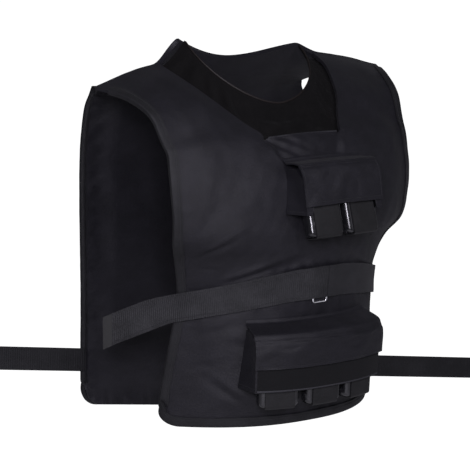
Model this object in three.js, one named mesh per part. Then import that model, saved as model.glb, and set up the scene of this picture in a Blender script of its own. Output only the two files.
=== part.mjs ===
// Weighted vest: padded front and back joined at the shoulders, pouches with weights, belt and straps.
// Millimetres. +Z up, the wearer faces -Y, the wearer's right is -X.
// The origin is the middle of the neck opening at the height of the shoulders.

import * as THREE from 'three';

// Main sizes
const FRONT_DROP = 571;          // origin down to the front hem
const BACK_DROP = 600;           // origin down to the back hem
const CHEST_HALF = 235;          // half width of the front at the chest
const CHEST_FORE = 168;          // origin forward to the front of the chest
const BACK_HALF = 234;           // half width of the back
const BACK_AFT = 140;            // origin back to the outside of the back
const HEAD_HALF = 117;           // half width of the head opening

// Padding and tape
const PAD = 13;                  // thickness of the padding
const EDGE = 5;                  // thickness where the padding is sewn flat
const SEAM = 14;                 // width of the flat sewn border
const SWELL = 42;                // width over which the padding swells to full thickness
const FRONT_CORNER = 20;         // radius of the front's lower corners
const BACK_CORNER = 24;          // radius of the back's lower corners
const CORNER_FADE = 1.7;         // height over which a corner's lift fades, in its radii
const SHOULDER_GAP = 0.4;        // running gap at the shoulder seam
const TAPE = 1.2;                // thickness of the binding tape
const TAPE_WIDTH = 13;           // how far the tape reaches in from the edge
const TAPE_FIT = 0.9;            // clearance of the tape to the padding
const FIT = 0.4;                 // clearance between sewn pieces

// Neckline, yoke and collar
const YOKE_DEPTH = 7;            // how far the thin yoke lies below the padding
const YOKE_HEIGHT = 36;          // height of the thin yoke
const COLLAR_FORE = 62;          // origin forward to the front of the head opening
const COLLAR_DROP = 85;          // origin down to the front of the head opening
const COLLAR_AFT = 32;           // collar's rim ends this far behind the origin
const COLLAR_WALL = 1.6;
const COLLAR_RISE = 30;          // how far the neck edge stands up at the wearer's right shoulder
const COLLAR_CALM = 0.35;        // share of that rise at the wearer's left shoulder
const COLLAR_EASE = 18;          // collar's rim below the shoulder at its ends, before the rise
const COLLAR_FIT = 3.5;          // collar's rim inside the back's neckline at each shoulder
const COLLAR_SAG = 6;            // how far the stretched insert sags
const COLLAR_TUCK = 10;          // how far the insert reaches under the front
const COLLAR_CLEAR = 1.5;        // insert behind the padding
const COLLAR_CORNER = 0.62;      // share of the quarter turn at which the neckline's corner lies
const COLLAR_TURN = 0.2;         // share of the quarter turn over which it goes round that corner

// Pouches and weights
const CLOTH = 2.4;               // pouch cloth, doubled and hemmed
const ON_PANEL = 1.3;            // belts lie this far off the front's curved face
const SEWN = 0.6;                // what is sewn on a panel lies this far off its curved face
const GUSSET_SEAT = 1.1;         // same, for a gusset's flared edge
const WEIGHT_WIDTH = 65;
const WEIGHT_DEPTH = 22;
const WEIGHT_CORNER = 8;
const WEIGHT_BEVEL = 3;
const WEIGHT_PITCH = 71;
const LOOP_WIDTH = 48;
const LOOP_WALL = 1.6;
const LOOP_TUCK = 12;            // loop's reach up inside the pouch wall
const LOOP_BEHIND = 24;          // loop's reach up behind the weight
const SPLAY = 0.42;              // how far a pouch's sides lean outwards with the panel's face
const CHEST_TOP = 163;           // origin down to the chest flap's seam
const BELT_ROOM = 32;            // belt's lower edge to the waist flap's seam, both at the middle
// Heights are from the flap's seam down to its fold, its lower edge, the pouch's hem and the weights' feet.
// A gusset is wider by its flare where it is sewn on, and with the wall's two corners it reaches lower than
// the hem by its skirt.
const CHEST_SIZES = {
  middle: 14, half: 73, depth: 38, neck: 26,
  toFold: 8, toFlap: 63, toHem: 53, toFoot: 112,
  flare: 11, skirt: 22, weights: 2, weightHeight: 86,
};
const WAIST_SIZES = {
  middle: -8, half: 109, depth: 42, neck: 20,
  toFold: 21, toFlap: 64, toHem: 101, toFoot: 127,
  flare: 9, skirt: 0, weights: 3, weightHeight: 90,
};
const FLAP_SEAM = 5;             // flap's sewn edge above its pouch's top line
const FLAP_PUFF = 0.8;           // how far the hanging flap bows off the pouch
const FLAP_BEND = 5;             // height over which the flap bends at its fold
const MOUTH_GAP = 10;            // pouch wall's upper rim below the flap's seam
const SKIRT_STAND = 0.17;        // how far the skirt of a pouch stands off, as a share of its own length
const POUCH_TAPER = 0.75;        // share of a pouch's height above which it narrows
const WEIGHT_PLAY = 0.6;         // room between a weight's loop and the pouch wall
const STRIP_HEIGHT = 46;         // fastening strip under the waist flap
const STRIP_WALL = 1.4;
const STRIP_INSET = 3;           // strip's lower edge above the pouch's hem

// Belt, ring and straps
const BELT_WIDTH = 50;
const BELT_WALL = 2.2;
const BELT_DROP = 350;           // origin down to the belt's centre line at the front
const BELT_SAG = 31;             // how much lower the belt lies at the sides
const BELT_TAIL = 106;           // free end past the front's edge
const BELT_TAIL_DROP = 44;
const TAIL_CURL = 12;            // how far the free end bows outwards
const EDGE_TURN = 12;            // how far the belt swings clear as it turns round the back's edge
const RING_WIDTH = 30;
const RING_WIRE = 3.6;
const RING_CLEAR = 0.8;          // ring's inner height beyond the belt's width, each side
const RING_EASE = 30;            // length over which the belt comes down beside the ring
const RING_SHIFT = 5;            // how far the ring has slipped down behind the belt
const STRAP_WIDTH = 37;
const STRAP_WALL = 2.2;
const STRAP_REACH = 376;         // strap past the back's edge
const STRAP_SEWN = 95;           // strap sewn on the back
const STRAP_DROP = 532;          // origin down to the straps at the middle of the back
const BACK_TILT = 0.152;         // how much the back's lower part is pulled askew, height per width

// A pouch's lines as drops from the origin
const pouchAt = (top, sizes) => ({
  ...sizes,
  top,
  fold: top + sizes.toFold,
  flap: top + sizes.toFlap,
  hem: top + sizes.toHem,
  foot: top + sizes.toFoot,
});
const CHEST_POUCH = pouchAt(CHEST_TOP, CHEST_SIZES);
const WAIST_POUCH = pouchAt(BELT_DROP + BELT_WIDTH / 2 + BELT_ROOM, WAIST_SIZES);

// Sections of the front from hem to shoulder seam. drop and edgeDrop are shares of FRONT_DROP,
// fore and edgeFore shares of CHEST_FORE, half a share of CHEST_HALF, neck a share of the row's half width.
const FRONT_ROWS = [
  { drop: 1.000, edgeDrop: 1.000, half: 0.893, fore: 0.855, edgeFore: 0.167, neck: 0.36 },
  { drop: 0.930, edgeDrop: 0.930, half: 0.894, fore: 0.892, edgeFore: 0.185, neck: 0.36 },
  { drop: 0.835, edgeDrop: 0.835, half: 0.872, fore: 0.925, edgeFore: 0.238, neck: 0.36 },
  { drop: 0.720, edgeDrop: 0.720, half: 0.843, fore: 0.940, edgeFore: 0.310, neck: 0.36 },
  { drop: 0.655, edgeDrop: 0.660, half: 0.830, fore: 0.945, edgeFore: 0.340, neck: 0.36 },
  { drop: 0.590, edgeDrop: 0.605, half: 0.843, fore: 0.970, edgeFore: 0.370, neck: 0.36 },
  { drop: 0.525, edgeDrop: 0.546, half: 0.890, fore: 1.000, edgeFore: 0.435, neck: 0.36 },
  { drop: 0.464, edgeDrop: 0.490, half: 0.966, fore: 1.010, edgeFore: 0.565, neck: 0.35 },
  { drop: 0.394, edgeDrop: 0.420, half: 0.987, fore: 1.000, edgeFore: 0.613, neck: 0.34 },
  { drop: 0.333, edgeDrop: 0.356, half: 1.000, fore: 0.950, edgeFore: 0.613, neck: 0.33 },
  { drop: 0.271, edgeDrop: 0.301, half: 1.000, fore: 0.865, edgeFore: 0.589, neck: 0.32 },
  { drop: 0.215, edgeDrop: 0.250, half: 0.996, fore: 0.740, edgeFore: 0.560, neck: 0.32 },
  { drop: 0.170, edgeDrop: 0.217, half: 1.004, fore: 0.558, edgeFore: 0.500, neck: 0.40 },
  { drop: 0.122, edgeDrop: 0.145, half: 1.034, fore: 0.345, edgeFore: 0.369, neck: 0.49 },
  { drop: 0.051, edgeDrop: 0.100, half: 1.098, fore: -0.012, edgeFore: 0.107, neck: 0.56 },
  { drop: 0.012, edgeDrop: 0.079, half: 1.196, fore: -0.286, edgeFore: -0.208, neck: 0.545 },
];
// The neckline's lower edge is the last row before the neck widens
const NECK_ROW = FRONT_ROWS.findIndex((row) => row.neck > FRONT_ROWS[0].neck) - 1;
const SEAM_ROW = FRONT_ROWS.length - 1;
const RIDGE_HALF = FRONT_ROWS[SEAM_ROW].half * CHEST_HALF;
const FRONT_BULGE = 2.4;         // power of the front's curve from middle to edge

// Sections of the back from hem to just under the shoulders: drops as shares of BACK_DROP,
// aft and edgeAft of BACK_AFT, right and left half widths of BACK_HALF.
const BACK_ROWS = [
  { drop: 1.000, edgeDrop: 1.000, aft: 1.000, edgeAft: 0.985, right: 1.000, left: 1.000 },
  { drop: 0.860, edgeDrop: 0.855, aft: 0.985, edgeAft: 0.975, right: 1.000, left: 1.000 },
  { drop: 0.720, edgeDrop: 0.710, aft: 0.970, edgeAft: 0.965, right: 0.998, left: 0.990 },
  { drop: 0.580, edgeDrop: 0.568, aft: 0.985, edgeAft: 0.970, right: 0.996, left: 0.975 },
  { drop: 0.430, edgeDrop: 0.415, aft: 1.005, edgeAft: 0.985, right: 0.990, left: 0.950 },
  { drop: 0.300, edgeDrop: 0.275, aft: 0.995, edgeAft: 1.000, right: 0.975, left: 0.915 },
  { drop: 0.200, edgeDrop: 0.165, aft: 0.935, edgeAft: 1.005, right: 0.940, left: 0.870 },
  { drop: 0.125, edgeDrop: 0.118, aft: 0.800, edgeAft: 0.985, right: 0.900, left: 0.855 },
  { drop: 0.075, edgeDrop: 0.094, aft: 0.630, edgeAft: 0.720, right: 0.985, left: 0.960 },
];
const BACK_BULGE = 2.6;
const NECK_AFT = 60;             // origin back to the middle of the back neckline
const NECK_DIP = 17;             // origin down to the middle of the back neckline

// Folds of the padded front: place as shares of the half width and of FRONT_DROP, run in degrees
// from level, length and width as shares of CHEST_HALF, depth in shares of PAD.
const FRONT_FOLDS = [
  { across: -0.62, drop: 0.60, run: 28, length: 0.20, width: 0.040, depth: 0.30 },
  { across: -0.80, drop: 0.63, run: 8, length: 0.12, width: 0.035, depth: 0.25 },
  { across: -0.45, drop: 0.61, run: 12, length: 0.24, width: 0.045, depth: 0.25 },
  { across: 0.55, drop: 0.60, run: -22, length: 0.20, width: 0.045, depth: 0.25 },
  { across: -0.72, drop: 0.84, run: 10, length: 0.16, width: 0.045, depth: 0.25 },
  { across: -0.62, drop: 0.92, run: -32, length: 0.20, width: 0.045, depth: 0.22 },
];

const STEPS = 2;                 // mesh rows for each section of a table

// Looks of the pieces
const MATERIALS = {
  nylon: { color: 0x141416, roughness: 0.75, metalness: 0.0 },
  tape: { color: 0x1c1c1d, roughness: 0.8, metalness: 0.0 },
  webbing: { color: 0x1a1a1b, roughness: 0.85, metalness: 0.0 },
  mesh: { color: 0x1a1513, roughness: 0.9, metalness: 0.0 },
  pile: { color: 0x0c0c0d, roughness: 0.95, metalness: 0.0 },
  weight: { color: 0x0b0b0c, roughness: 0.15, metalness: 0.1 },
  nickel: { color: 0xc9cacc, roughness: 0.2, metalness: 1.0 },
};

// Small maths
const clamp01 = (value) => Math.min(1, Math.max(0, value));
const ease = (value) => {
  const v = clamp01(value);
  return v * v * (3 - 2 * v);
};
const lerp = (a, b, share) => a + (b - a) * share;

// A smooth curve through the named columns of a table, at a place counted in rows
function sectionAt(rows, place) {
  const last = rows.length - 1;
  const at = Math.min(last, Math.max(0, place));
  const i = Math.min(last - 1, Math.floor(at));
  const t = at - i;
  const [a, b, c, d] = [rows[Math.max(0, i - 1)], rows[i], rows[i + 1], rows[Math.min(last, i + 2)]];
  const section = {};
  for (const key of Object.keys(b)) {
    section[key] = 0.5 * (2 * b[key] + (c[key] - a[key]) * t
      + (2 * a[key] - 5 * b[key] + 4 * c[key] - d[key]) * t * t
      + (3 * b[key] - a[key] - 3 * c[key] + d[key]) * t * t * t);
  }
  return section;
}

// The place in a table where a falling column reaches a value
function placeWhere(rows, key, value) {
  let low = 0;
  let high = rows.length - 1;
  for (let step = 0; step < 30; step += 1) {
    const middle = (low + high) / 2;
    if (sectionAt(rows, middle)[key] > value) {
      low = middle;
    } else {
      high = middle;
    }
  }
  return (low + high) / 2;
}

// A closed sheet over a grid of points: an outer and an inner skin, joined by walls round the kept cells.
// points[i][j] holds { outer, inner }.
function sheetGeometry(points, keep = () => true) {
  const rows = points.length - 1;
  const columns = points[0].length - 1;
  const kept = (i, j) => i >= 0 && j >= 0 && i < rows && j < columns && keep(i, j);
  const index = new Map();
  const positions = [];
  const vertex = (side, i, j) => {
    const key = `${side} ${i} ${j}`;
    if (!index.has(key)) {
      index.set(key, positions.length / 3);
      positions.push(...points[i][j][side].toArray());
    }
    return index.get(key);
  };
  const triangles = [];
  const quad = (a, b, c, d) => triangles.push(a, b, c, a, c, d);
  for (let i = 0; i < rows; i += 1) {
    for (let j = 0; j < columns; j += 1) {
      if (!kept(i, j)) continue;
      const outer = [[i, j], [i, j + 1], [i + 1, j + 1], [i + 1, j]].map(([r, c]) => vertex('outer', r, c));
      const inner = [[i, j], [i, j + 1], [i + 1, j + 1], [i + 1, j]].map(([r, c]) => vertex('inner', r, c));
      quad(outer[0], outer[1], outer[2], outer[3]);
      quad(inner[3], inner[2], inner[1], inner[0]);
      if (!kept(i - 1, j)) quad(outer[1], outer[0], inner[0], inner[1]);
      if (!kept(i, j + 1)) quad(outer[2], outer[1], inner[1], inner[2]);
      if (!kept(i + 1, j)) quad(outer[3], outer[2], inner[2], inner[3]);
      if (!kept(i, j - 1)) quad(outer[0], outer[3], inner[3], inner[0]);
    }
  }
  const geometry = new THREE.BufferGeometry();
  geometry.setAttribute('position', new THREE.Float32BufferAttribute(positions, 3));
  geometry.setIndex(triangles);
  return geometry;
}

// Normals of a grid of points, pointing to the side from which rows and columns run right-handed
function gridNormals(grid) {
  const last = [grid.length - 1, grid[0].length - 1];
  return grid.map((row, i) => row.map((point, j) => {
    const alongRow = grid[i][Math.min(last[1], j + 1)].clone().sub(grid[i][Math.max(0, j - 1)]);
    const alongColumn = grid[Math.min(last[0], i + 1)][j].clone().sub(grid[Math.max(0, i - 1)][j]);
    return alongRow.cross(alongColumn).normalize();
  }));
}

// Normals at the shoulder seam stand upright along it, so that front and back meet without crossing
function seamNormals(row, normals, share) {
  row.forEach((point, j) => {
    const along = row[Math.min(row.length - 1, j + 1)].clone().sub(row[Math.max(0, j - 1)]);
    const upright = new THREE.Vector3(-along.z, 0, along.x).normalize();
    if (upright.z < 0) upright.negate();
    normals[j].lerp(upright, share(point)).normalize();
  });
}

// A closed sheet from a grid of face points, with its two skins at given depths below the face
function paddedPoints(grid, depths, seamShare = null) {
  const normals = gridNormals(grid);
  if (seamShare) seamNormals(grid[grid.length - 1], normals[grid.length - 1], seamShare);
  return grid.map((row, i) => row.map((point, j) => {
    const [outer, inner] = depths(i, j);
    return {
      outer: point.clone().addScaledVector(normals[i][j], -outer),
      inner: point.clone().addScaledVector(normals[i][j], -inner),
      face: point,
      normal: normals[i][j],
    };
  }));
}

// Depths of the two skins of a padded panel where it is a share of its full thickness
function padDepths(full) {
  const pinch = (PAD - EDGE) / 2 * (1 - full);
  return [pinch, PAD - pinch];
}

// How far a lower corner of given radius lifts the hem, at a distance from the side edge
function cornerLift(distance, radius) {
  const inside = clamp01(1 - distance / radius);
  return radius * (1 - Math.sqrt(1 - inside * inside));
}

// Dent of the front's folds at a share of its half width and a drop
function foldDent(across, drop) {
  let dent = 0;
  for (const fold of FRONT_FOLDS) {
    const angle = fold.run * Math.PI / 180;
    const dx = (across - fold.across) * CHEST_HALF;
    const dz = (fold.drop * FRONT_DROP - drop);
    const along = (dx * Math.cos(angle) + dz * Math.sin(angle)) / (fold.length * CHEST_HALF);
    const beside = (dz * Math.cos(angle) - dx * Math.sin(angle)) / (fold.width * CHEST_HALF);
    dent += fold.depth * PAD * Math.exp(-along * along - beside * beside);
  }
  return dent;
}

// Face of the front at a place in its table and a share of its half width
function frontFace(place, share) {
  const s = sectionAt(FRONT_ROWS, place);
  const reach = Math.abs(share);
  const half = s.half * CHEST_HALF;
  const bend = reach ** FRONT_BULGE;
  const drop = lerp(s.drop, s.edgeDrop, share * share) * FRONT_DROP;
  const fade = 1 - ease((FRONT_DROP - drop) / (CORNER_FADE * FRONT_CORNER));
  const lift = cornerLift((1 - reach) * half, FRONT_CORNER) * fade;
  return new THREE.Vector3(
    share * half,
    -lerp(s.fore, s.edgeFore, bend) * CHEST_FORE,
    -drop + lift,
  );
}

// Columns of the front: strap, yoke and strap, each with its flat border
function frontShares(place) {
  const s = sectionAt(FRONT_ROWS, place);
  const half = s.half * CHEST_HALF;
  const border = 1 - SEAM / half;
  const strap = [0.14, 0.30, 0.46, 0.62, 0.78, 0.90].map((u) => lerp(s.neck, border, u));
  const side = [s.neck, ...strap, border, 1];
  const middle = [-0.6, -0.2, 0.2, 0.6].map((u) => u * s.neck);
  return [...side.map((u) => -u).reverse(), ...middle, ...side];
}
const STRAP_COLUMNS = 8;         // cells from the outer edge to the neck edge
const MIDDLE_COLUMNS = 5;

const FRONT_PLACES = [0];
for (let row = 0; row < SEAM_ROW; row += 1) {
  if (row === 0) FRONT_PLACES.push(placeWhere(FRONT_ROWS, 'drop', 1 - SEAM / FRONT_DROP));
  for (let step = 1; step <= STEPS; step += 1) FRONT_PLACES.push(row + step / STEPS);
}
const NECK_LINE = FRONT_PLACES.indexOf(NECK_ROW);

function frontPoints() {
  const grid = FRONT_PLACES.map((place) => frontShares(place).map((share) => frontFace(place, share)));
  const seamPlace = FRONT_PLACES.length - 1;
  grid[seamPlace].forEach((point) => {
    point.y -= SHOULDER_GAP / 2;
  });
  const yokeFoot = placeWhere(FRONT_ROWS, 'drop', FRONT_ROWS[NECK_ROW].drop + YOKE_HEIGHT / FRONT_DROP);
  return paddedPoints(grid, (i, j) => {
    const place = FRONT_PLACES[i];
    const share = frontShares(place)[j];
    const s = sectionAt(FRONT_ROWS, place);
    const half = s.half * CHEST_HALF;
    const fromSide = (1 - Math.abs(share)) * half - SEAM;
    const fromHem = (1 - s.drop) * FRONT_DROP - SEAM;
    const aboveNeck = place >= NECK_ROW;
    const fromNeck = aboveNeck ? (Math.abs(share) - s.neck) * half : SWELL;
    const fromSeam = (SEAM_ROW - place) * SWELL / 2;
    const full = ease(fromSide / SWELL) * ease(fromHem / SWELL)
      * ease((fromNeck + SEAM / 2) / SWELL) * lerp(0.4, 1, ease(fromSeam / SWELL));
    const [outer, inner] = padDepths(full);
    const inYoke = place <= NECK_ROW && place > yokeFoot && Math.abs(share) < s.neck * 0.99;
    const dent = foldDent(share, s.drop * FRONT_DROP) * full;
    const sunk = inYoke ? YOKE_DEPTH : 0;
    const face = outer + dent + sunk;
    return [face, Math.max(inner + dent * 0.5, face + EDGE / 2)];
  }, () => 1);
}

function frontKeeps(i, j) {
  const inMiddle = j >= STRAP_COLUMNS && j < STRAP_COLUMNS + MIDDLE_COLUMNS;
  return !(inMiddle && i >= NECK_LINE);
}

// Top edge of the back: shoulder seam outside the head opening, curved neckline inside it
function backTop(x) {
  const reach = Math.abs(x);
  const seam = FRONT_ROWS[SEAM_ROW];
  const share = reach / RIDGE_HALF;
  const seamDrop = lerp(seam.drop, seam.edgeDrop, share * share) * FRONT_DROP;
  const seamAft = -lerp(seam.fore, seam.edgeFore, share ** FRONT_BULGE) * CHEST_FORE;
  const rise = COLLAR_RISE * (x < 0 ? 1 : COLLAR_CALM) * (1 - ease((reach - HEAD_HALF) / HEAD_HALF * 2.4));
  const inside = clamp01(reach / HEAD_HALF);
  const dip = lerp(NECK_DIP, seamDrop - rise, inside * inside);
  const aft = lerp(NECK_AFT, seamAft, inside ** 3);
  return reach < HEAD_HALF
    ? new THREE.Vector3(x, aft, -dip)
    : new THREE.Vector3(x, seamAft + SHOULDER_GAP / 2, -seamDrop + rise);
}

function backFace(place, share) {
  const top = BACK_ROWS.length - 1;
  const s = sectionAt(BACK_ROWS, Math.min(place, top));
  const side = share < 0 ? s.right : s.left;
  const reach = Math.abs(share);
  const half = side * BACK_HALF;
  const drop = lerp(s.drop, s.edgeDrop, share * share) * BACK_DROP;
  const fade = 1 - ease((BACK_DROP - drop) / (CORNER_FADE * BACK_CORNER));
  const lift = cornerLift((1 - reach) * half, BACK_CORNER) * fade;
  const tilt = BACK_TILT * ease(drop / BACK_DROP * 1.1);
  const x = share * half;
  const aft = lerp(s.aft, s.edgeAft, reach ** BACK_BULGE) * BACK_AFT;
  const point = new THREE.Vector3(x, aft, -drop + lift - tilt * x);
  if (place > top) point.lerp(backTop(share * RIDGE_HALF), place - top);
  return point;
}

function backShares(place) {
  const s = sectionAt(BACK_ROWS, place);
  const border = 1 - SEAM / (s.right * BACK_HALF);
  const half = [0.12, 0.26, 0.40, 0.54, 0.68, 0.80, 0.88].concat([border, 1]);
  return [...half.map((u) => -u).reverse(), 0, ...half];
}

const BACK_PLACES = [0];
for (let row = 0; row < BACK_ROWS.length; row += 1) {
  if (row === 0) BACK_PLACES.push(placeWhere(BACK_ROWS, 'drop', 1 - SEAM / BACK_DROP));
  for (let step = 1; step <= STEPS; step += 1) BACK_PLACES.push(row + step / STEPS);
}

// The back's columns run from the wearer's left to right, so that its outside faces backwards
function backPoints() {
  const grid = BACK_PLACES.map((place) => backShares(place).map((share) => backFace(place, -share)));
  return paddedPoints(grid, (i, j) => {
    const place = BACK_PLACES[i];
    const share = -backShares(place)[j];
    const s = sectionAt(BACK_ROWS, place);
    const fromSide = (1 - Math.abs(share)) * s.right * BACK_HALF - SEAM;
    const fromHem = (1 - s.drop) * BACK_DROP - SEAM;
    const fromTop = (BACK_ROWS.length - place) * SWELL / 2;
    const full = ease(fromSide / SWELL) * ease(fromHem / SWELL) * lerp(0.3, 1, ease(fromTop / SWELL));
    return padDepths(full);
  }, (point) => ease((Math.abs(point.x) - HEAD_HALF) / (HEAD_HALF * 0.25)));
}

// Tape folded over an edge: a U section carried along the panel's border
function bindingGeometry(points, path) {
  const grid = path.map(([edge, inside]) => {
    const e = points[edge[0]][edge[1]];
    const n = points[inside[0]][inside[1]];
    const middleEdge = e.outer.clone().add(e.inner).multiplyScalar(0.5);
    const middleInside = n.outer.clone().add(n.inner).multiplyScalar(0.5);
    const inward = middleInside.sub(middleEdge).normalize();
    const normal = e.outer.clone().sub(e.inner).normalize();
    const halfEdge = EDGE / 2 + TAPE_FIT;
    const at = (a, b) => middleEdge.clone().addScaledVector(inward, a).addScaledVector(normal, b);
    const back = -TAPE_FIT;
    return [
      { outer: at(TAPE_WIDTH, halfEdge + TAPE), inner: at(TAPE_WIDTH, halfEdge) },
      { outer: at(back - TAPE, halfEdge + TAPE), inner: at(back, halfEdge) },
      { outer: at(back - TAPE, -halfEdge - TAPE), inner: at(back, -halfEdge) },
      { outer: at(TAPE_WIDTH, -halfEdge - TAPE), inner: at(TAPE_WIDTH, -halfEdge) },
    ];
  });
  return sheetGeometry(grid);
}

// Border path of a panel: down one side, along the hem and up the other, some rows short of its top
function borderPath(rows, columns, short) {
  const path = [];
  for (let i = rows - short; i >= 1; i -= 1) path.push([[i, 0], [i, 1]]);
  path.push([[0, 0], [1, 1]]);
  for (let j = 1; j < columns; j += 1) path.push([[0, j], [1, j]]);
  path.push([[0, columns], [1, columns - 1]]);
  for (let i = 1; i <= rows - short; i += 1) path.push([[i, columns], [i, columns - 1]]);
  return path;
}

// Collar insert: from the head opening out and down to under the front's neck edge
function collarPoints() {
  const turns = 20;
  const steps = 6;
  const grid = [];
  for (let k = 0; k <= steps; k += 1) {
    const row = [];
    for (let n = 0; n <= turns; n += 1) {
      const angle = lerp(-Math.PI / 2, Math.PI / 2, n / turns);
      const round = 1 - Math.cos(angle);
      const rise = angle < 0 ? COLLAR_RISE : COLLAR_RISE * COLLAR_CALM;
      const rim = new THREE.Vector3(
        (HEAD_HALF - COLLAR_FIT) * Math.sin(angle),
        COLLAR_AFT - (COLLAR_FORE + COLLAR_AFT) * Math.cos(angle),
        -COLLAR_DROP + (COLLAR_DROP - COLLAR_EASE + rise) * round ** 0.85,
      );
      const v = k / steps;
      const point = rim.lerp(neckUnder(angle), v);
      point.z -= Math.sin(v * Math.PI) * COLLAR_SAG;
      row.push(point);
    }
    grid.unshift(row);
  }
  return paddedPoints(grid, () => [0, COLLAR_WALL]);
}

// Where the insert is sewn: just under the front's neck edge, at an angle round the neck
function neckUnder(angle) {
  const reach = Math.abs(angle) / (Math.PI / 2);
  const side = Math.sign(angle) || 1;
  const straight = COLLAR_CORNER * 0.8;
  const up = clamp01((reach - straight) / (1 - straight));
  const place = lerp(NECK_ROW, SEAM_ROW - 0.08, up);
  const s = sectionAt(FRONT_ROWS, place);
  const tuck = COLLAR_TUCK / (s.half * CHEST_HALF);
  const share = (s.neck + tuck) * Math.min(1, reach / straight);
  const below = ease((COLLAR_CORNER - reach) / COLLAR_TURN);
  const rowHeight = (FRONT_ROWS[NECK_ROW - 1].drop - FRONT_ROWS[NECK_ROW].drop) * FRONT_DROP;
  const lower = place - COLLAR_TUCK / rowHeight * below;
  const face = frontFace(lower, share * side);
  const across = frontFace(lower, share * side + 0.02).sub(face);
  const along = frontFace(lower + 0.05, share * side).sub(face);
  const normal = across.cross(along).normalize();
  return face.addScaledVector(normal, -(PAD + COLLAR_CLEAR));
}

// A point off the front's outside, at a distance across and a drop, both at the front's middle
function offFront(across, drop, off, lean = 1) {
  const place = placeWhere(FRONT_ROWS, 'drop', drop / FRONT_DROP);
  const half = sectionAt(FRONT_ROWS, place).half * CHEST_HALF;
  const share = across / half;
  const face = frontFace(place, share);
  const beside = frontFace(place, share + 0.01).sub(face);
  const above = frontFace(Math.min(place + 0.05, SEAM_ROW), share)
    .sub(frontFace(Math.max(place - 0.05, 0), share));
  const normal = beside.cross(above).normalize();
  const outward = normal.clone();
  outward.x *= lean;
  outward.z *= lean;
  return face.addScaledVector(outward.normalize(), off / Math.max(0.5, outward.dot(normal)) ** 0.5);
}

// Pouch wall: gusset, curved front and gusset, open below where the weights show
function pouchPoints(pouch) {
  const rows = 5;
  const front = 12;
  const gusset = 3;
  const grid = [];
  for (let i = 0; i <= rows; i += 1) {
    const v = i / rows;
    const rim = pouch.top + MOUTH_GAP;
    const drop = lerp(pouch.hem, rim, v);
    const deep = lerp(pouch.depth, pouch.neck, clamp01((v - POUCH_TAPER) / (1 - POUCH_TAPER))) - CLOTH - FIT;
    const gussetPoint = (side, out) => offFront(
      pouch.middle + side * (pouch.half + pouch.flare * (1 - out) * (1 - v)),
      lerp(pouch.hem + pouch.skirt, rim, v),
      lerp(GUSSET_SEAT, deep, out),
      SPLAY,
    );
    const row = [];
    for (let j = 0; j < gusset; j += 1) row.push(gussetPoint(-1, j / gusset));
    for (let j = 0; j <= front; j += 1) {
      const across = pouch.middle + lerp(-pouch.half, pouch.half, j / front);
      const lower = Math.min(j, front - j) <= 1 ? pouch.skirt * (1 - v) : 0;
      row.push(offFront(across, drop + lower, deep + lower * SKIRT_STAND, SPLAY));
    }
    for (let j = gusset - 1; j >= 0; j -= 1) row.push(gussetPoint(1, j / gusset));
    grid.push(row);
  }
  return paddedPoints(grid, () => [0, CLOTH]);
}

// Flap: sewn to the front above the pouch, over its top and down its face
function flapPoints(pouch) {
  const columns = 14;
  const stations = [
    { drop: pouch.flap, off: pouch.depth },
    { drop: lerp(pouch.fold, pouch.flap, 0.66), off: pouch.depth + FLAP_PUFF * 0.75 },
    { drop: lerp(pouch.fold, pouch.flap, 0.33), off: pouch.depth + FLAP_PUFF },
    { drop: pouch.fold + FLAP_BEND, off: pouch.depth },
    { drop: pouch.fold - FLAP_BEND * 0.2, off: pouch.depth - FLAP_BEND * 0.8 },
    { drop: lerp(pouch.top, pouch.fold, 0.55), off: lerp(pouch.neck, pouch.depth, 0.62) },
    { drop: lerp(pouch.top, pouch.fold, 0.22), off: pouch.neck * 0.62 + CLOTH + 2 },
    { drop: pouch.top, off: SEWN + CLOTH },
    { drop: pouch.top - FLAP_SEAM, off: SEWN - FIT },
  ];
  const grid = stations.map((station) => {
    const row = [];
    for (let j = 0; j <= columns; j += 1) {
      const across = pouch.middle + lerp(-1, 1, j / columns) * (pouch.half + CLOTH);
      row.push(offFront(across, station.drop, station.off + CLOTH + FIT, SPLAY));
    }
    return row;
  });
  return paddedPoints(grid, () => [0, CLOTH]);
}

// Fastening strip on the face of the waist pouch, its upper part under the flap
function stripPoints(pouch) {
  const columns = 14;
  const rows = 3;
  const grid = [];
  for (let i = 0; i <= rows; i += 1) {
    const drop = lerp(pouch.hem - STRIP_INSET, pouch.hem - STRIP_HEIGHT, i / rows);
    const row = [];
    for (let j = 0; j <= columns; j += 1) {
      const across = pouch.middle + lerp(-1, 1, j / columns) * (pouch.half - 2);
      row.push(offFront(across, drop, pouch.depth - CLOTH + STRIP_WALL, SPLAY));
    }
    grid.push(row);
  }
  return paddedPoints(grid, () => [0, STRIP_WALL]);
}

// A rounded rectangle centred on the origin
function roundedRect(width, depth, radius) {
  const shape = new THREE.Shape();
  const [w, d, r] = [width / 2, depth / 2, radius];
  shape.moveTo(-w + r, -d);
  shape.lineTo(w - r, -d);
  shape.absarc(w - r, -d + r, r, -Math.PI / 2, 0);
  shape.lineTo(w, d - r);
  shape.absarc(w - r, d - r, r, 0, Math.PI / 2);
  shape.lineTo(-w + r, d);
  shape.absarc(-w + r, d - r, r, Math.PI / 2, Math.PI);
  shape.lineTo(-w, -d + r);
  shape.absarc(-w + r, -d + r, r, Math.PI, 3 * Math.PI / 2);
  return shape;
}

// Weight: a block with round upright edges, standing on z = 0
function weightGeometry(height) {
  const shape = roundedRect(WEIGHT_WIDTH - 2 * WEIGHT_BEVEL, WEIGHT_DEPTH - 2 * WEIGHT_BEVEL,
    WEIGHT_CORNER - WEIGHT_BEVEL);
  const geometry = new THREE.ExtrudeGeometry(shape, {
    depth: height - 2 * WEIGHT_BEVEL,
    bevelEnabled: true,
    bevelThickness: WEIGHT_BEVEL,
    bevelSize: WEIGHT_BEVEL,
    bevelSegments: 1,
    curveSegments: 3,
  });
  geometry.translate(0, 0, WEIGHT_BEVEL);
  return geometry;
}

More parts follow.
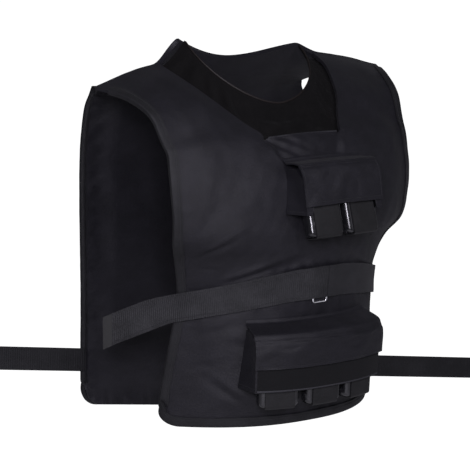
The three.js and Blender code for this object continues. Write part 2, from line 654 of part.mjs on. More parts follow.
// Elastic loop: down the weight's face, under its foot and up behind it
function loopGeometry(pouch) {
  const near = WEIGHT_DEPTH / 2 + FIT;
  const round = WEIGHT_BEVEL;
  const front = pouch.foot - pouch.hem + LOOP_TUCK;
  const section = (clear) => [
    [-near - clear, front],
    [-near - clear, round],
    [-near + round - clear * 0.3, -FIT - clear],
    [near - round + clear * 0.3, -FIT - clear],
    [near + clear, round],
    [near + clear, LOOP_BEHIND],
  ];
  const shape = new THREE.Shape();
  const outline = [...section(0), ...section(LOOP_WALL).reverse()];
  outline.forEach(([y, z], k) => (k ? shape.lineTo(y, z) : shape.moveTo(y, z)));
  const geometry = new THREE.ExtrudeGeometry(shape, { depth: LOOP_WIDTH, bevelEnabled: false });
  geometry.translate(0, 0, -LOOP_WIDTH / 2);
  geometry.applyMatrix4(new THREE.Matrix4().set(0, 0, 1, 0, 1, 0, 0, 0, 0, 1, 0, 0, 0, 0, 0, 1));
  return geometry;
}

// Place of one of a pouch's weights: foot centre, turn about Z and lean, along the pouch wall above its hem
function weightSeat(pouch, number) {
  const across = pouch.middle + (number - (pouch.weights - 1) / 2) * WEIGHT_PITCH;
  const behindFace = pouch.depth - 2 * CLOTH - 2 * FIT - LOOP_WALL - WEIGHT_PLAY - WEIGHT_DEPTH / 2;
  const ends = (drop) => [-1, 1].map((side) => (
    offFront(across + side * LOOP_WIDTH / 2, drop, behindFace, SPLAY)));
  const [hemRight, hemLeft] = ends(pouch.hem);
  const [headRight, headLeft] = ends(pouch.foot - pouch.weightHeight);
  const turn = Math.atan2(hemLeft.y - hemRight.y, hemLeft.x - hemRight.x);
  const hem = hemRight.lerp(hemLeft, 0.5);
  const rise = headRight.lerp(headLeft, 0.5).sub(hem);
  const foot = hem.clone().addScaledVector(rise, (pouch.hem - pouch.foot) / rise.z);
  const forward = rise.y * Math.cos(turn) - rise.x * Math.sin(turn);
  return { foot, turn, lean: Math.atan2(-forward, rise.z) };
}

// The belt over the front, at a distance across: its lower edge, middle and upper edge
function beltRung(across, off) {
  const sag = BELT_SAG * (across / BELT_EDGE) ** 2;
  return RUNGS.map((side) => offFront(across, BELT_DROP + sag - side * BELT_WIDTH, off));
}

// A rung of a band that hangs free: a point and the points above and below it
function plainRung(point, width) {
  return RUNGS.map((side) => new THREE.Vector3(point.x, point.y, point.z + side * width));
}

// A webbing band from its rungs, wall outwards
function bandPoints(rungs, wall) {
  const grid = RUNGS.map((side, i) => rungs.map((rung) => rung[i]));
  return paddedPoints(grid, () => [0, wall]);
}

const RUNGS = [-0.5, 0, 0.5];
// The belt crosses the front where it is narrowest
const BELT_EDGE = Math.min(...FRONT_ROWS.map((row) => row.half)) * CHEST_HALF;
const RING_OFF = ON_PANEL + RING_WIRE / 2;
const SIDE_BELT_DROP = BELT_DROP + BELT_SAG;

// How far a belt stands off the front near the ring that it passes over
function ringRaise(across) {
  const lift = RING_OFF + RING_WIRE / 2 + FIT - ON_PANEL;
  return lift * ease(1 - (Math.abs(across) - RING_WIDTH / 2 - RING_WIRE) / RING_EASE);
}

// Rungs of a belt over the front between two distances across
function frontRungs(from, to, count) {
  const rungs = [];
  for (let k = 0; k <= count; k += 1) {
    const across = lerp(from, to, k / count);
    rungs.push(beltRung(across, ON_PANEL + BELT_WALL + ringRaise(across)));
  }
  return rungs;
}

// Ribbed half of the belt: from its free end at the wearer's right to the ring
function frontBeltRungs() {
  const end = RING_WIDTH / 2 - RING_WIRE - FIT;
  const over = frontRungs(-BELT_EDGE, end, 18);
  const [corner, before] = [over[0], over[1]];
  const way = corner[1].clone().sub(before[1]);
  way.z = 0;
  way.normalize();
  const tail = [];
  const steps = 5;
  for (let k = steps; k >= 1; k -= 1) {
    const out = k / steps;
    tail.push(corner.map((point, i) => {
      const upright = corner[1].clone();
      upright.z += RUNGS[i] * BELT_WIDTH;
      const moved = point.clone().lerp(upright, ease(out * 2)).addScaledVector(way, out * BELT_TAIL);
      moved.x -= TAIL_CURL * out * out;
      moved.z -= BELT_TAIL_DROP * out ** 1.2;
      return moved;
    }));
  }
  return [...tail, ...over];
}

// Smooth half of the belt: from the ring round the wearer's left side to the back panel
function sideBeltRungs() {
  const over = frontRungs(RING_WIDTH / 2 - RING_WIRE + FIT, BELT_EDGE, 16);
  const from = over[over.length - 1];
  const sewn = [0.96, 0.86, 0.76].map((share) => plainRung(
    backOff(share, SIDE_BELT_DROP, ON_PANEL + BELT_WALL),
    BELT_WIDTH,
  ));
  const rim = backOff(1, SIDE_BELT_DROP, ON_PANEL + BELT_WALL);
  const turn = [[1.0, -1.6], [1.0, -0.6], [0.75, 0]].map(([out, aft]) => plainRung(
    new THREE.Vector3(rim.x + out * EDGE_TURN, rim.y + aft * EDGE_TURN, rim.z),
    BELT_WIDTH,
  ));
  const span = [];
  const steps = 6;
  for (let k = 1; k < steps; k += 1) {
    span.push(from.map((point, i) => point.clone().lerp(turn[0][i], k / steps)));
  }
  return [...over, ...span, ...turn, ...sewn];
}

// A point off the outside of the back, at a signed share of its half width and a drop at its middle
function backOff(share, drop, off) {
  const place = placeWhere(BACK_ROWS, 'drop', drop / BACK_DROP);
  const face = backFace(place, share);
  const beside = backFace(place, share - 0.01).sub(face);
  const above = backFace(place + 0.05, share).sub(backFace(Math.max(place - 0.05, 0), share));
  return face.addScaledVector(beside.cross(above).normalize(), off);
}

// Side strap: sewn on the back's outside, then pulled straight out in line with the back's tilt
function strapRungs(side) {
  const line = [];
  const edge = 1 - SEAM / BACK_HALF;
  const sewn = 5;
  for (let k = 0; k <= sewn; k += 1) {
    const share = side * lerp(edge - STRAP_SEWN / BACK_HALF, 1, k / sewn);
    line.push(plainRung(backOff(share, STRAP_DROP, SEWN + STRAP_WALL), STRAP_WIDTH));
  }
  const from = line[sewn][1];
  const pulled = 6;
  for (let k = 1; k <= pulled; k += 1) {
    const out = STRAP_REACH * k / pulled;
    const point = new THREE.Vector3(from.x + side * out, from.y, from.z - side * out * BACK_TILT);
    line.push(plainRung(point, STRAP_WIDTH));
  }
  return side < 0 ? line : line.reverse();
}

// Ring: a rectangular wire loop round the belt
function ringGeometry() {
  const height = BELT_WIDTH + 2 * RING_CLEAR + 2 * RING_WIRE;
  const shape = roundedRect(RING_WIDTH, height, RING_WIRE * 1.4);
  const hole = roundedRect(RING_WIDTH - 2 * RING_WIRE, height - 2 * RING_WIRE, RING_WIRE * 0.5);
  shape.holes.push(hole);
  const geometry = new THREE.ExtrudeGeometry(shape, {
    depth: RING_WIRE,
    bevelEnabled: false,
    curveSegments: 3,
  });
  geometry.translate(0, 0, -RING_WIRE / 2);
  geometry.rotateX(Math.PI / 2);
  return geometry;
}

// Assembly
const vest = new THREE.Group();

function add(name, geometry, look) {
  const mesh = new THREE.Mesh(geometry, new THREE.MeshStandardMaterial(MATERIALS[look]));
  mesh.name = name;
  vest.add(mesh);
  return mesh;
}

const front = frontPoints();
const back = backPoints();
add('front_panel', sheetGeometry(front, frontKeeps), 'nylon');
add('back_panel', sheetGeometry(back), 'nylon');
// Each tape ends some sections of its table short of the panel's top
for (const [title, panel, sections] of [['front', front, 0.5], ['back', back, 2]]) {
  const path = borderPath(panel.length - 1, panel[0].length - 1, sections * STEPS);
  add(`${title}_binding`, bindingGeometry(panel, path), 'tape');
}
add('collar_insert', sheetGeometry(collarPoints()), 'mesh');

for (const [title, pouch] of [['chest', CHEST_POUCH], ['waist', WAIST_POUCH]]) {
  add(`${title}_pouch`, sheetGeometry(pouchPoints(pouch)), 'nylon');
  add(`${title}_flap`, sheetGeometry(flapPoints(pouch)), 'nylon');
  for (let number = 0; number < pouch.weights; number += 1) {
    const seat = weightSeat(pouch, number);
    const weight = add(`${title}_weight_${number + 1}`, weightGeometry(pouch.weightHeight), 'weight');
    const loop = add(`${title}_loop_${number + 1}`, loopGeometry(pouch), 'webbing');
    for (const piece of [weight, loop]) {
      piece.position.copy(seat.foot);
      piece.rotation.set(seat.lean, 0, seat.turn, 'ZYX');
    }
  }
}
add('waist_strip', sheetGeometry(stripPoints(WAIST_POUCH)), 'pile');

add('front_belt', sheetGeometry(bandPoints(frontBeltRungs(), BELT_WALL)), 'webbing');
add('side_belt', sheetGeometry(bandPoints(sideBeltRungs(), BELT_WALL)), 'webbing');
const ring = add('belt_ring', ringGeometry(), 'nickel');
const ringRung = RUNGS.map((side) => offFront(0, BELT_DROP + RING_SHIFT - side * BELT_WIDTH, RING_OFF));
ring.position.copy(ringRung[1]);
ring.rotation.x = Math.atan2(ringRung[0].y - ringRung[2].y, ringRung[2].z - ringRung[0].z);
add('back_strap_right', sheetGeometry(bandPoints(strapRungs(-1), STRAP_WALL)), 'webbing');
add('back_strap_left', sheetGeometry(bandPoints(strapRungs(1), STRAP_WALL)), 'webbing');

export default vest;
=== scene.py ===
"""Looks of a padded weighted vest: two panels, pouches with weights, a belt and side straps.

Lengths are worked out in millimetres in the part's own frame and put into the meshes in metres.
"""
from __future__ import annotations

import logging
import math
from dataclasses import dataclass, replace
from enum import Enum
from typing import Callable

import bmesh
import bpy
import numpy as np
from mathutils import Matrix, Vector

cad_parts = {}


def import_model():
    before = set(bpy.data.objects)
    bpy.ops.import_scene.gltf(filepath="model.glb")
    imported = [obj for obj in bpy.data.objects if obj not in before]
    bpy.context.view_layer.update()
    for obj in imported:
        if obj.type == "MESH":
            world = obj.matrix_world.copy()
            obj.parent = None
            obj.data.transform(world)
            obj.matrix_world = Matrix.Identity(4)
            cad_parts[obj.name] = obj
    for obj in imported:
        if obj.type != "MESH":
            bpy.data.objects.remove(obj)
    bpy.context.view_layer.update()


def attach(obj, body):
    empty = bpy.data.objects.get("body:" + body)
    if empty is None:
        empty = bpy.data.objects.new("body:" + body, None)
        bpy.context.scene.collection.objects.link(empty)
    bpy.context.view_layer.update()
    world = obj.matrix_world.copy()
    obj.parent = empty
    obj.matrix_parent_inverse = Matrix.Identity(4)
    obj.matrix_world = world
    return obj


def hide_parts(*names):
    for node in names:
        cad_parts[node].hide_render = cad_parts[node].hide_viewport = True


LOG = logging.getLogger("vest")
MM = 0.001

# Sizes shared with the part's solids, in millimetres
FRONT_DROP, BACK_DROP = 571.0, 600.0
CHEST_HALF, CHEST_FORE = 235.0, 168.0
BACK_HALF, BACK_AFT = 234.0, 140.0
HEAD_HALF = 117.0
PAD, EDGE, SEAM, SWELL = 13.0, 5.0, 14.0, 42.0
FRONT_CORNER, BACK_CORNER, CORNER_FADE = 20.0, 24.0, 1.7
SHOULDER_GAP = 0.4
TAPE, TAPE_WIDTH, TAPE_FIT = 1.2, 13.0, 0.9
FIT, CLOTH, SEWN, GUSSET_SEAT, ON_PANEL = 0.4, 2.4, 0.6, 1.1, 1.3
YOKE_DEPTH, YOKE_HEIGHT = 7.0, 36.0
FRONT_BULGE, BACK_BULGE = 2.4, 2.6
NECK_ROW = 11
NECK_AFT, NECK_DIP = 60.0, 17.0
COLLAR_RISE, COLLAR_CALM = 30.0, 0.35
BACK_TILT = 0.152
SPLAY = 0.42
RIBS = 11                        # points across a belt or a strap
STEP = 0.05                      # rows of a table over which a face's slope is measured

Array = np.ndarray
Colour = tuple[float, float, float]


def ease(value: Array | float) -> Array:
    """Smooth step from 0 to 1: v squared times (3 - 2 v), with v held between 0 and 1."""
    v = np.clip(value, 0.0, 1.0)
    return v * v * (3.0 - 2.0 * v)


def bell(value: Array, middle: float, width: float) -> Array:
    """Bell curve: e to the minus square of the distance from its middle over its width."""
    return np.exp(-((value - middle) / width)**2)


def lerp(a: Array | float, b: Array | float, share: Array | float) -> Array:
    """The value at a share of the way from a to b."""
    return a + (b - a) * share


def unit(vectors: Array) -> Array:
    """Vectors divided by their own lengths."""
    return vectors / np.maximum(np.linalg.norm(vectors, axis=-1, keepdims=True), 1e-9)


def lengths_along(path: Array) -> Array:
    """Lengths from a path's start to each of its points."""
    return np.concatenate([[0.0], np.cumsum(np.linalg.norm(np.diff(path, axis=0), axis=-1))])


def corner_turns(points: int) -> Array:
    """Angles round the four round corners of a rectangle, with some points on each."""
    return np.concatenate([np.linspace(0, math.pi / 2, points) + k * math.pi / 2 for k in range(4)])


def waves(x: Array, y: Array | float, seed: int, length: tuple[float, float], count: int = 9) -> Array:
    """Uneven swell: the mean of sines over random directions, lengths and phases.

    Args:
        x, y: place on the surface in millimetres.
        seed: seed of the directions, lengths and phases.
        length: shortest and longest wave.
        count: how many sines.

    Returns:
        Heights of about -1 to 1.
    """
    rng = np.random.default_rng(seed)
    turn = rng.uniform(0.0, math.tau, count)
    number = math.tau / rng.uniform(*length, count)
    phase = rng.uniform(0.0, math.tau, count)
    field = np.zeros(np.broadcast(x, y).shape)
    for t, k, p in zip(turn, number, phase):
        field = field + np.sin(k * (x * math.cos(t) + y * math.sin(t)) + p)
    return field / math.sqrt(count)


class Sections:
    """A table of sections with named columns, read as a smooth curve through its rows."""

    def __init__(self, names: str, rows: list[tuple[float, ...]]) -> None:
        """Keeps the rows as one array.

        Args:
            names: the columns' names, parted by spaces.
            rows: one tuple for each section.
        """
        self.names = names.split()
        self.rows = np.array(rows)
        self.last = len(rows) - 1

    def at(self, place: Array | float) -> dict[str, Array]:
        """The table between its rows, by the Catmull-Rom curve through four neighbours.

        Args:
            place: places counted in rows.

        Returns:
            The value of each column there.
        """
        spot = np.clip(place, 0.0, self.last)
        i = np.minimum(self.last - 1, np.floor(spot)).astype(int)
        t = (spot - i)[..., None]
        a, b = self.rows[np.maximum(0, i - 1)], self.rows[i]
        c, d = self.rows[i + 1], self.rows[np.minimum(self.last, i + 2)]
        mixed = 0.5 * (2 * b + (c - a) * t + (2 * a - 5 * b + 4 * c - d) * t**2
                       + (3 * b - a - 3 * c + d) * t**3)
        return {name: mixed[..., k] for k, name in enumerate(self.names)}

    def where(self, name: str, value: Array | float) -> Array:
        """Where a falling column reaches values, found by halving.

        Args:
            name: the column.
            value: the values.

        Returns:
            Places counted in rows.
        """
        low = np.zeros(np.shape(value))
        high = np.full(np.shape(value), float(self.last))
        for _ in range(26):
            middle = (low + high) / 2
            above = self.at(middle)[name] > value
            low, high = np.where(above, middle, low), np.where(above, high, middle)
        return (low + high) / 2


FRONT = Sections("drop edge_drop half fore edge_fore neck", [
    (1.000, 1.000, 0.893, 0.855, 0.167, 0.36), (0.930, 0.930, 0.894, 0.892, 0.185, 0.36),
    (0.835, 0.835, 0.872, 0.925, 0.238, 0.36), (0.720, 0.720, 0.843, 0.940, 0.310, 0.36),
    (0.655, 0.660, 0.830, 0.945, 0.340, 0.36), (0.590, 0.605, 0.843, 0.970, 0.370, 0.36),
    (0.525, 0.546, 0.890, 1.000, 0.435, 0.36), (0.464, 0.490, 0.966, 1.010, 0.565, 0.35),
    (0.394, 0.420, 0.987, 1.000, 0.613, 0.34), (0.333, 0.356, 1.000, 0.950, 0.613, 0.33),
    (0.271, 0.301, 1.000, 0.865, 0.589, 0.32), (0.215, 0.250, 0.996, 0.740, 0.560, 0.32),
    (0.170, 0.217, 1.004, 0.558, 0.500, 0.40), (0.122, 0.145, 1.034, 0.345, 0.369, 0.49),
    (0.051, 0.100, 1.098, -0.012, 0.107, 0.56), (0.012, 0.079, 1.196, -0.286, -0.208, 0.545),
])
BACK = Sections("drop edge_drop aft edge_aft right left", [
    (1.000, 1.000, 1.000, 0.985, 1.000, 1.000), (0.860, 0.855, 0.985, 0.975, 1.000, 1.000),
    (0.720, 0.710, 0.970, 0.965, 0.998, 0.990), (0.580, 0.568, 0.985, 0.970, 0.996, 0.975),
    (0.430, 0.415, 1.005, 0.985, 0.990, 0.950), (0.300, 0.275, 0.995, 1.000, 0.975, 0.915),
    (0.200, 0.165, 0.935, 1.005, 0.940, 0.870), (0.125, 0.118, 0.800, 0.985, 0.900, 0.855),
    (0.075, 0.094, 0.630, 0.720, 0.985, 0.960),
])
SEAM_ROW = FRONT.last
RIDGE_HALF = float(FRONT.rows[-1, 2]) * CHEST_HALF


def corner_lift(distance: Array, radius: float) -> Array:
    """How far a round corner lifts the hem: radius less the quarter circle's height."""
    inside = np.clip(1 - distance / radius, 0, 1)
    return radius * (1 - np.sqrt(1 - inside**2))


def front_face(place: Array, share: Array) -> Array:
    """Face of the front.

    Across is share times half width, fore falls from middle to edge with the share's bulge power,
    and the drop changes with the share squared and is lifted at the lower corners.

    Args:
        place: rows of the front's table, counted from the hem.
        share: signed shares of the half width.

    Returns:
        Points on the face.
    """
    place, share = np.broadcast_arrays(np.asarray(place, float), np.asarray(share, float))
    s = FRONT.at(place)
    reach = np.abs(share)
    half = s["half"] * CHEST_HALF
    drop = lerp(s["drop"], s["edge_drop"], share**2) * FRONT_DROP
    fade = 1 - ease((FRONT_DROP - drop) / (CORNER_FADE * FRONT_CORNER))
    lift = corner_lift((1 - reach) * half, FRONT_CORNER) * fade
    fore = lerp(s["fore"], s["edge_fore"], reach**FRONT_BULGE) * CHEST_FORE
    return np.stack([share * half, -fore, lift - drop], axis=-1)


def back_top(x: Array) -> Array:
    """Top edge of the back: the shoulder seam outside the head opening, a curved neckline inside it.

    Args:
        x: distances across.

    Returns:
        Points on the edge.
    """
    reach = np.abs(x)
    s = {name: FRONT.rows[-1, k] for k, name in enumerate(FRONT.names)}
    share = reach / RIDGE_HALF
    seam_drop = lerp(s["drop"], s["edge_drop"], share**2) * FRONT_DROP
    seam_aft = -lerp(s["fore"], s["edge_fore"], share**FRONT_BULGE) * CHEST_FORE
    outside = ease((reach - HEAD_HALF) / HEAD_HALF * 2.4)
    rise = COLLAR_RISE * np.where(x < 0, 1.0, COLLAR_CALM) * (1 - outside)
    inside = np.clip(reach / HEAD_HALF, 0, 1)
    neck = np.stack([x, lerp(NECK_AFT, seam_aft, inside**3),
                     -lerp(NECK_DIP, seam_drop - rise, inside**2)], axis=-1)
    seam = np.stack([x, seam_aft + SHOULDER_GAP / 2, rise - seam_drop], axis=-1)
    return np.where((reach < HEAD_HALF)[..., None], neck, seam)


def back_face(place: Array, share: Array) -> Array:
    """Face of the back: as the front's, but tilted by its pull and led to its own top edge.

    Args:
        place: rows of the back's table, counted from the hem; the last one more is the top edge.
        share: signed shares of the half width.

    Returns:
        Points on the face.
    """
    place, share = np.broadcast_arrays(np.asarray(place, float), np.asarray(share, float))
    s = BACK.at(place)
    reach = np.abs(share)
    half = np.where(share < 0, s["right"], s["left"]) * BACK_HALF
    drop = lerp(s["drop"], s["edge_drop"], share**2) * BACK_DROP
    fade = 1 - ease((BACK_DROP - drop) / (CORNER_FADE * BACK_CORNER))
    lift = corner_lift((1 - reach) * half, BACK_CORNER) * fade
    tilt = BACK_TILT * ease(drop / BACK_DROP * 1.1)
    x = share * half
    aft = lerp(s["aft"], s["edge_aft"], reach**BACK_BULGE) * BACK_AFT
    face = np.stack([x, aft, lift - drop - tilt * x], axis=-1)
    upper = np.clip(place - BACK.last, 0, 1)[..., None]
    return lerp(face, back_top(share * RIDGE_HALF), upper)


def off_front(across: Array, drop: Array, off: Array, lean: float = 1.0) -> Array:
    """Points off the front's outside: the face moved along its normal.

    Args:
        across, drop: distances across and down.
        off: distance off the face.
        lean: what the normal's part across and its part upwards are multiplied by.

    Returns:
        The points.
    """
    across, drop = np.broadcast_arrays(np.asarray(across, float), np.asarray(drop, float))
    place = FRONT.where("drop", drop / FRONT_DROP)
    share = across / (FRONT.at(place)["half"] * CHEST_HALF)
    face = front_face(place, share)
    beside = front_face(place, share + 0.01) - face
    upper, lower = np.minimum(place + STEP, SEAM_ROW), np.maximum(place - STEP, 0)
    above = front_face(upper, share) - front_face(lower, share)
    normal = unit(np.cross(beside, above))
    outward = unit(normal * np.array([lean, 1.0, lean]))
    dot = np.sum(outward * normal, axis=-1)
    return face + outward * (np.asarray(off, float) / np.sqrt(np.maximum(0.5, dot)))[..., None]


def back_off(share: Array, drop: Array, off: float) -> Array:
    """Points off the outside of the back: the face moved along its normal.

    Args:
        share: signed shares of the half width.
        drop: drops at the back's middle.
        off: distance off the face.

    Returns:
        The points.
    """
    place = BACK.where("drop", np.asarray(drop, float) / BACK_DROP)
    face = back_face(place, share)
    beside = back_face(place, np.asarray(share) - 0.01) - face
    above = back_face(place + STEP, share) - back_face(np.maximum(place - STEP, 0), share)
    return face + unit(np.cross(beside, above)) * off


def grid_normals(grid: Array) -> Array:
    """Normals of a grid: the cross of the differences along its rows and its columns."""
    return unit(np.cross(np.gradient(grid, axis=1), np.gradient(grid, axis=0)))


def arc_uv(grid: Array) -> Array:
    """Lengths over the cloth, for a weave that follows it: sums of steps from the grid's middle.

    Args:
        grid: points of the cloth.

    Returns:
        Lengths along the rows and along the columns.
    """
    u, v = np.zeros((2, *grid.shape[:2]))
    u[:, 1:] = np.cumsum(np.linalg.norm(np.diff(grid, axis=1), axis=-1), axis=1)
    v[1:, :] = np.cumsum(np.linalg.norm(np.diff(grid, axis=0), axis=-1), axis=0)
    middle_row, middle_column = grid.shape[0] // 2, grid.shape[1] // 2
    return np.stack([u - u[:, [middle_column]], v - v[[middle_row], :]], axis=-1)


class Maker:
    """Puts arrays into Blender meshes, attaches them to the frame's root and hides the parts that they stand
    for.
    """

    @staticmethod
    def mesh(name: str, points: Array, faces: Array, uv: Array | None, finish: Finish,
             replaces: tuple[str, ...] = (), sharp: float = 40.0) -> bpy.types.Object:
        """Makes a smooth closed piece with outward faces.

        Args:
            name: the piece's name.
            points: corners in millimetres.
            faces: rows of four corner numbers.
            uv: lengths on the cloth for each corner, in millimetres.
            finish: what the piece is made of.
            replaces: nodes of the part that the piece stands for.
            sharp: angle above which an edge stays sharp, in degrees.

        Returns:
            The object.
        """
        used, index = np.unique(faces, return_inverse=True)
        faces = index.reshape(faces.shape)
        data = bpy.data.meshes.new(name)
        data.from_pydata((points[used] * MM).tolist(), [], faces.tolist())
        if uv is not None:
            layer = data.uv_layers.new(name="cloth")
            loops = np.empty(len(data.loops), dtype=np.int32)
            data.loops.foreach_get("vertex_index", loops)
            layer.data.foreach_set("uv", (uv[used] * MM)[loops].astype(np.float32).ravel())
        build = bmesh.new()
        build.from_mesh(data)
        bmesh.ops.recalc_face_normals(build, faces=build.faces)
        build.to_mesh(data)
        build.free()
        data.shade_smooth()
        data.set_sharp_from_angle(angle=math.radians(sharp))
        data.materials.append(finish.material())
        piece = bpy.data.objects.new(name, data)
        bpy.context.scene.collection.objects.link(piece)
        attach(piece, "root")
        if replaces:
            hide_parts(*replaces)
        LOG.info("%s: %d faces", name, len(data.polygons))
        return piece

    @staticmethod
    def shell_faces(rows: int, columns: int, keep: Array | None = None) -> Array:
        """Quads of a closed shell: kept cells on both skins and walls where a cell's neighbour is missing.

        Args:
            rows, columns: points along the two ways of the grid.
            keep: which cells exist, one fewer each way than the points.

        Returns:
            Faces over the outer points followed by the inner points.
        """
        number = np.arange(rows * columns).reshape(rows, columns)
        corner = [number[:-1, :-1], number[:-1, 1:], number[1:, 1:], number[1:, :-1]]
        kept = np.ones((rows - 1, columns - 1), bool) if keep is None else keep
        shift = rows * columns
        quads = np.stack([c[kept] for c in corner], axis=-1)
        parts = [quads, quads[:, ::-1] + shift]
        around = np.pad(kept, 1)
        sides = [(around[:-2, 1:-1], 0, 1), (around[1:-1, 2:], 1, 2),
                 (around[2:, 1:-1], 2, 3), (around[1:-1, :-2], 3, 0)]
        for neighbour, a, b in sides:
            wall = kept & ~neighbour
            p, q = corner[a][wall], corner[b][wall]
            parts.append(np.stack([q, p, p + shift, q + shift], axis=-1))
        return np.concatenate(parts)

    @classmethod
    def sheet(cls, name: str, outer: Array, inner: Array, finish: Finish,
              replaces: tuple[str, ...] = (), keep: Array | None = None, sharp: float = 40.0,
              laid: Array | None = None) -> bpy.types.Object:
        """A closed sheet between two grids.

        Args:
            name: the piece's name.
            outer, inner: grids of its two skins.
            finish: what it is made of.
            replaces: nodes that it stands for.
            keep: which cells exist.
            sharp: angle above which an edge stays sharp.
            laid: grid on which the weave is measured, if not the outer one.

        Returns:
            The object.
        """
        rows, columns = outer.shape[:2]
        faces = cls.shell_faces(rows, columns, keep)
        points = np.concatenate([outer.reshape(-1, 3), inner.reshape(-1, 3)])
        flat = arc_uv(outer if laid is None else laid).reshape(-1, 2)
        return cls.mesh(name, points, faces, np.concatenate([flat, flat]), finish, replaces, sharp)

    @classmethod
    def cloth(cls, name: str, outer: Array, wall: float, finish: Finish, replaces: tuple[str, ...] = (),
              held: str = "hung", rests_on: tuple[str, ...] = ()) -> bpy.types.Object:
        """A sheet of cloth of one thickness.

        Args:
            name: the piece's name.
            outer: grid of its outer skin.
            wall: its thickness.
            finish: what it is made of.
            replaces: nodes that it stands for.
            held: how it is held; not used.
            rests_on: pieces that it rests on; not used.

        Returns:
            The object.
        """
        piece = cls.sheet(name, outer, outer - grid_normals(outer) * wall, finish, replaces)
        lengths = arc_uv(outer)
        across = np.cross(outer[1:, 1:] - outer[:-1, :-1], outer[1:, :-1] - outer[:-1, 1:])
        return piece

    @classmethod
    def tube(cls, name: str, loops: Array, closed: bool, finish: Finish,
             replaces: tuple[str, ...] = (), sharp: float = 60.0) -> bpy.types.Object:
        """A profile carried along a path: rings of points joined in turn, with flat ends if not closed.

        Args:
            name: the piece's name.
            loops: rings of points, one ring for each place on the path.
            closed: whether the last ring joins the first.
            finish: what the piece is made of.
            replaces: nodes that it stands for.
            sharp: angle above which an edge stays sharp.

        Returns:
            The object.
        """
        count, around = loops.shape[:2]
        number = np.arange(count * around).reshape(count, around)
        turned = np.roll(number, -1, axis=1)
        faces = np.stack([number, turned, np.roll(turned, -1, axis=0), np.roll(number, -1, axis=0)], axis=-1)
        faces = (faces if closed else faces[:-1]).reshape(-1, 4)
        if not closed:
            half = around // 2
            low = np.arange(half - 1)
            for ring in (0, count - 1):
                cap = np.stack([low, low + 1, around - 2 - low, around - 1 - low], axis=-1) + ring * around
                faces = np.concatenate([faces, cap])
        lengths = lengths_along(loops.mean(axis=1))
        edge = np.linalg.norm(np.diff(loops[0], axis=0, prepend=loops[0, :1]), axis=-1).cumsum()
        uv = np.stack(np.broadcast_arrays(lengths[:, None], edge[None, :]), axis=-1).reshape(-1, 2)
        return cls.mesh(name, loops.reshape(-1, 3), faces, uv, finish, replaces, sharp)

    @classmethod
    def cord(cls, name: str, path: Array, radii: tuple[float, float], finish: Finish) -> bpy.types.Object:
        """An oval cord along a path that lies roughly level.

        Args:
            name: the piece's name.
            path: points on its middle.
            radii: half its width and half its height.
            finish: what it is made of.

        Returns:
            The object.
        """
        turn = np.linspace(0, math.tau, 8, endpoint=False)[None, :, None]
        along = unit(np.gradient(path, axis=0))
        side = unit(np.cross(along, np.array([0, 0, 1.0])))
        up = np.cross(side, along)
        ring = side[:, None] * np.cos(turn) * radii[0] + up[:, None] * np.sin(turn) * radii[1]
        return cls.tube(name, path[:, None] + ring, False, finish)


class Shade:
    """A shader socket that takes part in Python sums, each operator adding one Math node."""

    def __init__(self, nodes: Graph, socket: bpy.types.NodeSocket) -> None:
        """Keeps the graph and the socket."""
        self.nodes = nodes
        self.socket = socket

    def math(self, operation: str, *others: Shade | float) -> Shade:
        """The result of a Math node on this value and others."""
        return self.nodes.add("ShaderNodeMath", {"operation": operation}, dict(enumerate((self, *others))))

    def __add__(self, other: Shade | float) -> Shade:
        """Sum."""
        return self.math("ADD", other)

    __radd__ = __add__

    def __mul__(self, other: Shade | float) -> Shade:
        """Product."""
        return self.math("MULTIPLY", other)

    __rmul__ = __mul__

    def __sub__(self, other: Shade | float) -> Shade:
        """Difference."""
        return self.math("SUBTRACT", other)

    def __rsub__(self, other: float) -> Shade:
        """A number less this value."""
        return (self * -1.0) + other

    def sine(self, pitch: float) -> Shade:
        """Sine that repeats over a pitch in metres."""
        return (self * (math.tau / pitch)).math("SINE")

    def above(self, low: float, high: float) -> Shade:
        """Smooth share from 0 at low to 1 at high."""
        return self.nodes.add("ShaderNodeMapRange", {"interpolation_type": "SMOOTHSTEP"},
                              {"Value": self, "From Min": low, "From Max": high})


